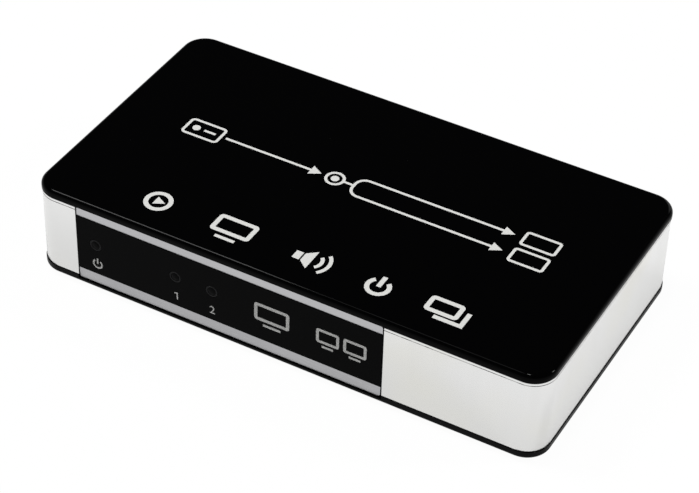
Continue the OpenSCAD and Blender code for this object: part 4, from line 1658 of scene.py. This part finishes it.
    def base(self) -> None:
        """Build the black base: rounded below, with pockets for the feet and the screws."""
        blank = Blank()
        step = self.plate_low.z - self.label_gap
        outline = blank.rectangle(self.size, radius=self.corner)
        left, right = self.notched(blank, outline)
        blank.move([outline], lift(step))
        bottom = blank.extrude([outline], self.low.z + self.base_round - step)
        bmesh.ops.recalc_face_normals(blank.bm, faces=blank.bm.faces)
        blank.round_rim(bottom, self.base_round, self.base_steps)
        _, rest = self.split(outline, left, right)
        top = blank.extrude([rest], self.band_low.z - step)
        label = blank.rectangle(self.field_size, radius=self.field_corner)
        feet = [blank.circle(self.foot_pocket[0], spot) for spot in self.foot_spots()]
        heads = [blank.circle(self.screw_pocket[0], spot) for spot in self.spots()]
        posts = [blank.circle(self.post[0], spot) for spot in self.spots()]
        blank.move([label, *feet, *heads], lift(self.low.z))
        blank.move(posts, lift(self.band_low.z))
        floors = [(label, self.field_depth), *((foot, self.foot_pocket[1]) for foot in feet)]
        blank.pocket(bottom[0], floors, heads)
        blank.sheet(top[0], posts)
        for spot in self.spots():
            blank.lathe(self.post_profile(), spot)
        bmesh.ops.remove_doubles(blank.bm, verts=blank.bm.verts, dist=WELD)
        self.skirt(blank, self.band_low.z - self.sunk, self.band_low.z + self.rim[1])
        piece = blank.finish("base", [FINISHES[Slot.BASE]])
        settle(piece, ["base_plate"])

    def post_profile(self) -> list[Point]:
        """Draw a screw's way through the base: its head's pocket, its bore, and the post round it.

        Returns:
            Radius and height of each point.
        """
        seat, end = self.low.z + self.screw_pocket[1], self.board_low.z
        head, outer, bore = (width / 2 for width in (self.screw_pocket[0], *self.post))
        inside = [(head, self.low.z), (head, seat), (bore, seat), (bore, end)]
        return [*inside, (outer, end), (outer, self.band_low.z)]

    def feet(self) -> None:
        """Build the four rubber feet, each with a shallow cup below."""
        blank = Blank()
        low, high = span("rubber_feet")
        wide = self.foot_width / 2
        side = [(wide - inset, low.z + height) for inset, height in self.foot_side]
        profile = [(0.0, low.z + self.foot_cup), *side, (wide, high.z), (0.0, high.z)]
        for spot in self.foot_spots():
            blank.lathe(profile, spot)
        piece = blank.finish("feet", [FINISHES[Slot.FOOT]])
        settle(piece, ["rubber_feet"])


@dataclass
class FrontLabel:
    """The satin plate, the black film and the indicators in the front."""

    # Corners of the plate, and rounds of the plate's and the film's front edges.
    plate_corner: float = 0.6
    plate_edge: float = 0.1
    film_edge: float = 0.03
    # The gap round a lens, and the diameters of its bezel and its core.
    hole_gap: float = 0.06
    lens_width: float = 2.5
    core_width: float = 1.9
    # The core's dome: where it starts, its edge, and shares of the radius with their rises.
    core_drop: float = 0.06
    core_edge: float = 0.06
    core_dome: tuple[Point, ...] = ((0.8, 0.0), (0.45, 0.04), (0.0, 0.055))
    # Reach of the bezel's rounded lip, and how far the middle of the round lies back.
    bezel_lip: float = 0.05
    bezel_bend: float = 0.015
    # The signs below the lenses: how far below, then their shifts and sizes.
    sign_drop: float = 4.5
    power_shift: float = 0.3
    power_size: float = 2.3
    power_stroke: float = 0.34
    figures: tuple[tuple[str, Point, float], ...] = (
        ("1", (0.25, -0.1), 1.7),
        ("2", (0.1, -0.05), 1.8),
    )
    # The screens: middle, size and stroke of each.
    screens: tuple[tuple[Point, Point, float], ...] = (
        ((-1.2, 11.3), (7.6, 4.2), 0.7),
        ((10.8, 11.3), (4.9, 3.4), 0.6),
        ((16.6, 11.3), (4.9, 3.4), 0.6),
    )

    @property
    def shoulder(self) -> float:
        """How far forward the plate's back is, where the lenses' flanges end."""
        return -span("front_plate")[1].y

    def build(self) -> None:
        """Build the label's pieces."""
        self.strip("label_plate", "front_plate", Slot.PLATE, self.plate_corner, self.plate_edge)
        self.strip("label_film", "front_film", Slot.FILM, 0.0, self.film_edge)
        for lens in LENSES:
            self.core(lens)
            self.bezel(lens)
        self.front_print()

    def strip(self, name: str, node: str, slot: Slot, corner: float, edge: float) -> None:
        """Build a flat strip with holes for the lenses.

        Args:
            name: The piece's name.
            node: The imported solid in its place.
            slot: The slot for its finish.
            corner: Radius of its corners.
            edge: Radius of its front edges.
        """
        blank = Blank()
        low, high = span(node)
        centre, size = facing(node)
        outline = blank.rectangle(size, centre, corner)
        bore = self.lens_width + 2 * self.hole_gap
        holes = [blank.circle(bore, facing(lens)[0]) for lens in LENSES]
        blank.slab(blank.sheet(outline, holes), -high.y, -low.y, edge)
        settle(blank.finish(name, [FINISHES[slot]], FRONT), [node])

    def core(self, node: str) -> None:
        """Build a smoked lens.

        Args:
            node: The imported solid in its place.
        """
        low, high = span(node)
        spot, size = facing(node)
        core, flange, top = self.core_width / 2, size[0] / 2, -low.y - self.core_drop
        blank = Blank()
        blank.lathe(
            [
                (0.0, -high.y),
                (flange, -high.y),
                (flange, self.shoulder),
                (core, self.shoulder),
                (core, top - self.core_edge),
                *((core * share, top + rise) for share, rise in self.core_dome),
            ],
            spot,
        )
        settle(blank.finish(f"{node}_core", [FINISHES[Slot.LENS]], FRONT), [node])

    def bezel(self, node: str) -> None:
        """Build the round bezel of a lens.

        Args:
            node: The lens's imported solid.
        """
        front = -span(node)[0].y
        core, wide = self.core_width / 2, self.lens_width / 2
        lip, bend = self.bezel_lip, self.bezel_bend
        blank = Blank()
        blank.lathe(
            [
                (core, self.shoulder),
                (wide, self.shoulder),
                (wide, front - lip),
                (wide - bend, front - bend),
                (wide - lip, front),
                (core + 2 * lip, front),
                (core + 2 * bend, front - 2 * bend),
                (core, front - 2 * lip),
                (core, self.shoulder),
            ],
            facing(node)[0],
        )
        settle(blank.finish(f"{node}_bezel", [BEZEL], FRONT))

    def front_print(self) -> None:
        """Build the numbers and signs on the film."""
        marks = Print(-span("front_film")[0].y - INK_DEPTH / 2)
        (x, z), *outputs = (facing(lens)[0] for lens in LENSES)
        power = (x + self.power_shift, z - self.sign_drop)
        marks.power_sign(power, self.power_size, self.power_stroke)
        for (x, z), (figure, shift, height) in zip(outputs, self.figures):
            marks.numeral(figure, (x + shift[0], z - self.sign_drop + shift[1]), height)
        for centre, size, stroke in self.screens:
            marks.screen(centre, size, stroke)
        settle(marks.finish("front_print", [FILM_INK], FRONT))


@dataclass
class VideoSocket:
    """One socket's sheet shell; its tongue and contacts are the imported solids."""

    name: str
    # The number printed over an output.
    figure: str = ""
    # Thickness of the sheet, and the opening's size, upright sides and foot.
    sheet: float = 0.3
    opening: Point = (14.0, 4.55)
    upright: float = 2.6
    foot: float = 10.2
    # Radius of the sheet's bends, and round of its mouth.
    bend: float = 0.7
    lip: float = 0.1
    # How far behind the mouth the legs stand, and their width.
    legs: Point = (4.5, 9.5)
    leg_width: float = 1.4
    # A sprung lip: its section, its start, its steps back and outwards, and its places.
    spring: Point = (2.2, 0.2)
    spring_mouth: float = 1.1
    spring_set: float = 0.05
    spring_path: tuple[Point, ...] = ((0.5, -0.02), (1.7, -0.42), (1.0, -0.12), (0.7, 0.22))
    spring_apart: Point = (6.6, 5.2)

    @property
    def node(self) -> str:
        """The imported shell's name."""
        return f"{self.name}_shell"

    @property
    def centre(self) -> float:
        """The shell's middle in x as seen from behind."""
        return -facing(self.node)[0][0]

    def outline(self, grow: float) -> list[Point]:
        """Draw the opening's six corners in x and z as seen from behind.

        Args:
            grow: How far outside the opening they lie.

        Returns:
            The corners, in order.
        """
        floor = span(self.node)[1].z - self.sheet - self.opening[1]
        half, foot = self.opening[0] / 2, self.foot / 2
        run, rise = half - foot, self.opening[1] - self.upright
        slant = math.hypot(run, rise)
        knee = rise - grow * (slant - rise) / run
        toe = foot + grow * (slant - run) / rise
        top = self.opening[1] + grow
        side = half + grow
        right = [(toe, -grow), (side, knee), (side, top)]
        left = [(-x, z) for x, z in reversed(right)]
        return [(self.centre + x, floor + z) for x, z in right + left]

    def build(self) -> None:
        """Build the shell with its legs."""
        blank = Blank()
        low, high = span(self.node)
        outer = blank.polygon(self.outline(self.sheet), self.bend)
        hole = blank.polygon(self.outline(0.0), self.bend - self.sheet)
        blank.slab(blank.sheet(outer, [hole]), low.y, high.y, self.lip)
        knee = self.outline(0.0)[1][1]
        reach = (self.opening[0] + self.sheet) / 2
        for side in (-1, 1):
            for back in self.legs:
                size = (self.sheet, knee - low.z)
                face = blank.rectangle(size, (self.centre + side * reach, (knee + low.z) / 2))
                middle = high.y - back
                blank.slab([face], middle - self.leg_width / 2, middle + self.leg_width / 2)
        self.springs(blank)
        piece = blank.finish(f"{self.name}_sheet", [FINISHES[Slot.SHELL]], REAR)
        settle(piece, [self.node])

    def springs(self, blank: Blank) -> None:
        """Add the four sprung lips that hold a plug, two above its tongue and two below.

        Args:
            blank: The shell's mesh.
        """
        high = span(self.node)[1]
        roof = high.z - self.sheet
        above, below = self.spring_apart
        for level, outward, apart in ((roof, 1, above), (roof - self.opening[1], -1, below)):
            for side in (-1, 1):
                spot = (self.centre + side * apart / 2, level + outward * self.spring_set)
                face = blank.rectangle(self.spring, spot)
                blank.move([face], lift(high.y - self.spring_mouth))
                for back, shift in self.spring_path:
                    face = blank.extrude([face], -back)[0]
                    blank.move([face], Matrix.Translation((0.0, outward * shift, 0.0)))


@dataclass
class RearFace:
    """The rear panel with its cut-outs and prints, and the sockets in it."""

    # Thickness of the flange, the gap in the band's window, and the face's corners and edges.
    flange: float = 1.2
    window_gap: float = 0.2
    corner: float = 0.4
    edge: float = 0.15
    # The gap round a socket and its larger corners, and the inlet's hole and height.
    socket_gap: float = 0.4
    socket_round: float = 0.2
    inlet_hole: float = 8.6
    inlet_axis: float = 11.9
    # The prints over the sockets: their height, and a number's and an arrow's place and size.
    print_level: float = 15.2
    figure_shift: float = -1.6
    figure_height: float = 1.8
    arrow_shift: float = 1.2
    arrow_ends: Point = (-0.9, 1.0)
    arrow_stroke: float = 0.35
    arrow_head: Point = (1.0, 1.5)
    # The polarity sign: its place from the inlet's axis, then its pin, sleeve and rings.
    sign_shift: float = -9.4
    sign_stroke: float = 0.25
    sign_pin: float = 0.8
    sign_sleeve: float = 0.95
    sign_gap: float = math.radians(35)
    sign_reach: float = 3.0
    sign_ring: float = 1.6
    sign_lead: float = 1.08
    sign_dash: float = 0.4
    sign_split: float = 0.13
    sockets: tuple[VideoSocket, ...] = (
        VideoSocket("input"),
        VideoSocket("output_1", "1"),
        VideoSocket("output_2", "2"),
    )

    def build(self) -> None:
        """Build the rear's pieces."""
        self.panel()
        for socket in self.sockets:
            socket.build()
        self.rear_print()

    def inlet_spot(self) -> Point:
        """Where the power inlet's axis is, in x as seen from behind and z."""
        return (-facing("inlet_housing")[0][0], self.inlet_axis)

    def holes(self, blank: Blank) -> list[BMFace]:
        """Draw the cut-outs for the sockets and the inlet.

        Args:
            blank: The panel's mesh.

        Returns:
            Their faces.
        """
        made = [blank.circle(self.inlet_hole, self.inlet_spot())]
        for socket in self.sockets:
            outline = socket.outline(socket.sheet + self.socket_gap)
            made.append(blank.polygon(outline, socket.bend + self.socket_round))
        return made

    def panel(self) -> None:
        """Build the grained panel: a face in the band's window and a flange behind it."""
        blank = Blank()
        low, high = span("rear_panel")
        (_, middle), size = facing("rear_panel")
        centre = (0.0, middle)
        face_size = tuple(length - 2 * (PANEL_LIP + self.window_gap) for length in size)
        blank.sheet(blank.rectangle(face_size, centre, self.corner), self.holes(blank))
        step = blank.rectangle(face_size, centre, self.corner)
        blank.sheet(blank.rectangle(size, centre, self.corner), [step])
        bmesh.ops.remove_doubles(blank.bm, verts=blank.bm.verts, dist=WELD)
        flange = low.y + self.flange
        raised = blank.slab(list(blank.bm.faces), low.y, flange)
        half, reach = (length / 2 + WELD for length in face_size)
        inner = [
            face
            for face in raised
            if all(abs(vert.co.x) < half and abs(vert.co.y - middle) < reach for vert in face.verts)
        ]
        front = blank.extrude(inner, high.y - INK_DEPTH - self.edge - flange)
        blank.round_rim(front, self.edge)
        piece = blank.finish("rear_plate", [FINISHES[Slot.PANEL]], REAR)
        settle(piece, ["rear_panel"])

    def rear_print(self) -> None:
        """Build the arrows, numbers and the plug's polarity sign over the sockets."""
        marks = Print(span("rear_panel")[1].y - INK_DEPTH)
        for socket in self.sockets:
            x, way = socket.centre, -1
            if socket.figure:
                spot = (x + self.figure_shift, self.print_level)
                marks.numeral(socket.figure, spot, self.figure_height)
                x, way = x + self.arrow_shift, 1
            tail, tip = ((x, self.print_level + way * end) for end in self.arrow_ends)
            marks.arrow(tail, tip, self.arrow_stroke, self.arrow_head)
        self.polarity(marks)
        settle(marks.finish("rear_print", [INK], REAR))

    def polarity(self, marks: Print) -> None:
        """Draw the plug's polarity: plus to the centre pin, minus to the sleeve.

        Args:
            marks: The print that it goes in.
        """
        x, y = self.inlet_spot()
        x += self.sign_shift
        stroke = self.sign_stroke
        marks.circle(self.sign_pin, (x, y))
        marks.arc((x, y), self.sign_sleeve, stroke, self.sign_gap, math.tau - 2 * self.sign_gap)
        for side in (-1, 1):
            far = x + side * self.sign_reach
            marks.ring((far, y), self.sign_ring, stroke)
            marks.bar((far - self.sign_dash, y), (far + self.sign_dash, y), stroke)
        rim = self.sign_reach - self.sign_ring / 2
        marks.bar((x + self.sign_pin / 2, y), (x + rim, y), stroke)
        marks.bar((x - rim, y), (x - self.sign_lead, y), stroke)
        plus = x + self.sign_reach
        marks.bar((plus, y + self.sign_split), (plus, y + self.sign_dash), stroke)
        marks.bar((plus, y - self.sign_dash), (plus, y - self.sign_split), stroke)


@dataclass
class MouldedChip:
    """A chip's moulded body: chamfered edges and a round dimple at its first lead."""

    node: str
    # Width of the chamfers, and the dimple's diameter, depth and distance from the corner.
    chamfer: float = 0.12
    dimple: Point = (0.7, 0.06)
    dimple_inset: float = 0.85

    def build(self) -> None:
        """Build the body."""
        blank = Blank()
        low, high = span(self.node)
        middle = (low + high) / 2
        face = blank.rectangle((high.x - low.x, high.y - low.y), (middle.x, middle.y))
        top = blank.slab([face], low.z, high.z, self.chamfer, self.chamfer, steps=1)
        width, depth = self.dimple
        mark = blank.circle(width, (low.x + self.dimple_inset, low.y + self.dimple_inset))
        blank.move([mark], lift(high.z))
        blank.pocket(top[0], [(mark, -depth)])
        settle(blank.finish(f"{self.node}_body", [FINISHES[Slot.CHIP]]), [self.node])


@dataclass
class Inside:
    """The chips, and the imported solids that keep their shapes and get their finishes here."""

    chips: tuple[MouldedChip, ...] = (
        MouldedChip("splitter_chip"),
        MouldedChip("control_chip"),
        MouldedChip("memory_chip"),
        MouldedChip("switching_regulator"),
        MouldedChip("linear_regulator"),
    )

    def build(self) -> None:
        """Build the chips and finish every solid that no piece stands for."""
        for chip in self.chips:
            chip.build()
        for part in frame["record"]["subparts"]:
            solid = frame["nodes"][part["node"]]
            if solid.hide_render:
                continue
            finish = FINISHES[Slot(part["material_slot"])]
            for holder in solid.material_slots:
                holder.material = finish.material()
            LOG.info("%s: %s", part["node"], finish.name)


@dataclass(frozen=True)
class Lamp:
    """A soft square lamp, its place and its width in metres."""

    name: str
    place: Spot
    width: float
    power: float

    def build(self) -> None:
        """Hang the lamp so that it looks at the object."""
        data = bpy.data.lights.new(self.name, "AREA")
        data.size = self.width
        data.energy = self.power
        lamp = bpy.data.objects.new(self.name, data)
        lamp.location = self.place
        lamp.rotation_euler = (-Vector(self.place)).to_track_quat("-Z", "Y").to_euler()
        bpy.context.scene.collection.objects.link(lamp)


@dataclass
class Studio:
    """A white floor and sky, soft lamps, and the camera at the photograph's angle."""

    # The floor, in metres, and how white it shows to the camera and in mirrors.
    floor_width: float = 4.0
    floor_glow: float = 0.97
    mirrored_glow: float = 0.75
    floor_colour: Colour = (0.9, 0.9, 0.9)
    floor_roughness: float = 0.9
    floor_level: float = 0.1
    # The sky's brightness at the horizon and above, and the heights between which it changes.
    horizon: float = 0.9
    zenith: float = 0.06
    sky_range: Point = (0.0, 0.5)
    lamps: tuple[Lamp, ...] = (
        Lamp("key", (-0.47, -0.1, 0.875), 0.22, 5.0),
        Lamp("edge", (-0.26, -0.1, 0.95), 0.2, 0.5),
        Lamp("top", (-0.03, -0.06, 1.0), 0.12, 3.0),
        Lamp("right", (0.69, 0.4, 0.6), 0.16, 3.2),
        Lamp("rear", (0.1, 0.9, 0.45), 0.4, 1.2),
    )
    # The camera: its angles in degrees, its place in millimetres and its lens.
    azimuth: float = 28.139
    elevation: float = 39.816
    roll: float = 1.843
    shift: Point = (-1.297, -9.230)
    distance: float = 450.90
    focal_pixels: float = 2338.25
    image_width: int = 699
    sensor: float = 36.0
    clip_start: float = 0.01

    def build(self) -> None:
        """Build the studio."""
        self.floor()
        self.sky()
        for lamp in self.lamps:
            lamp.build()
        self.camera()
        bpy.context.scene.view_settings.view_transform = "Standard"

    def floor(self) -> None:
        """Lay a pale floor that shows white, and is see-through from below."""
        bm = bmesh.new()
        bmesh.ops.create_grid(bm, x_segments=1, y_segments=1, size=self.floor_width / 2)
        mesh = bpy.data.meshes.new("floor")
        bm.to_mesh(mesh)
        bm.free()
        shader = Shader("white_floor")
        shader.dress({
            "Base Color": self.floor_colour,
            "Roughness": self.floor_roughness,
            "Specular IOR Level": self.floor_level,
        })
        lit = Value(shader, shader.surface.outputs[0])
        glow = shader.add("ShaderNodeEmission", None, {"Color": WHITE, "Strength": 1.0})
        mirrored = shader.ray("Glossy") + shader.ray("Transmission")
        share = shader.ray("Camera") * self.floor_glow + mirrored * self.mirrored_glow
        white = shader.add("ShaderNodeMixShader", None, {0: share, 1: lit, 2: glow})
        below = shader.add("ShaderNodeNewGeometry", output="Backfacing")
        clear = shader.add("ShaderNodeBsdfTransparent")
        both = shader.add("ShaderNodeMixShader", None, {0: below, 1: white, 2: clear})
        shader.fill(shader.output, {"Surface": both})
        mesh.materials.append(shader.material)
        floor = bpy.data.objects.new("floor", mesh)
        bpy.context.scene.collection.objects.link(floor)

    def sky(self) -> None:
        """Make the sky white for the camera; for other rays bright at the horizon and dark above."""
        world = bpy.data.worlds.new("studio")
        bpy.context.scene.world = world
        world.use_nodes = True
        nodes = Nodes(world.node_tree)
        height = nodes.axis(nodes.add("ShaderNodeTexCoord", output="Generated"), "Z")
        shade = nodes.ramp(height, *self.sky_range) * (self.zenith - self.horizon) + self.horizon
        soft = nodes.add("ShaderNodeBackground", None, {"Color": WHITE, "Strength": shade})
        white = nodes.add("ShaderNodeBackground", None, {"Color": WHITE, "Strength": 1.0})
        both = nodes.add("ShaderNodeMixShader", None, {0: nodes.ray("Camera"), 1: soft, 2: white})
        nodes.fill(world.node_tree.nodes["World Output"], {"Surface": both})

    def camera(self) -> None:
        """Put the camera where the photograph was taken from, aimed past the cover's underside."""
        around, above, tilt = (math.radians(a) for a in (self.azimuth, self.elevation, self.roll))
        back = Vector((
            math.sin(around) * math.cos(above),
            -math.cos(around) * math.cos(above),
            math.sin(above),
        ))
        right = Vector((math.cos(around), math.sin(around), 0.0))
        up = back.cross(right)
        x = right * math.cos(tilt) + up * math.sin(tilt)
        y = up * math.cos(tilt) - right * math.sin(tilt)
        aim = Vector((0.0, 0.0, span("side_band")[1].z))
        place = (aim + x * self.shift[0] + y * self.shift[1] + back * self.distance) * MM
        data = bpy.data.cameras.new("camera")
        data.sensor_width = self.sensor
        data.lens = self.sensor * self.focal_pixels / self.image_width
        data.clip_start = self.clip_start
        camera = bpy.data.objects.new("camera", data)
        camera.matrix_world = Matrix.Translation(place) @ Matrix((x, y, back)).transposed().to_4x4()
        bpy.context.scene.collection.objects.link(camera)
        bpy.context.scene.camera = camera


def main() -> None:
    """Build the pieces, dress the solids and set the studio."""
    logging.basicConfig(level=logging.INFO, format="%(name)s %(message)s")
    for part in (CaseShell(), FrontLabel(), RearFace(), Inside(), Studio()):
        LOG.info("building %s", type(part).__name__)
        part.build()


if __name__ == "__main__":
    main()
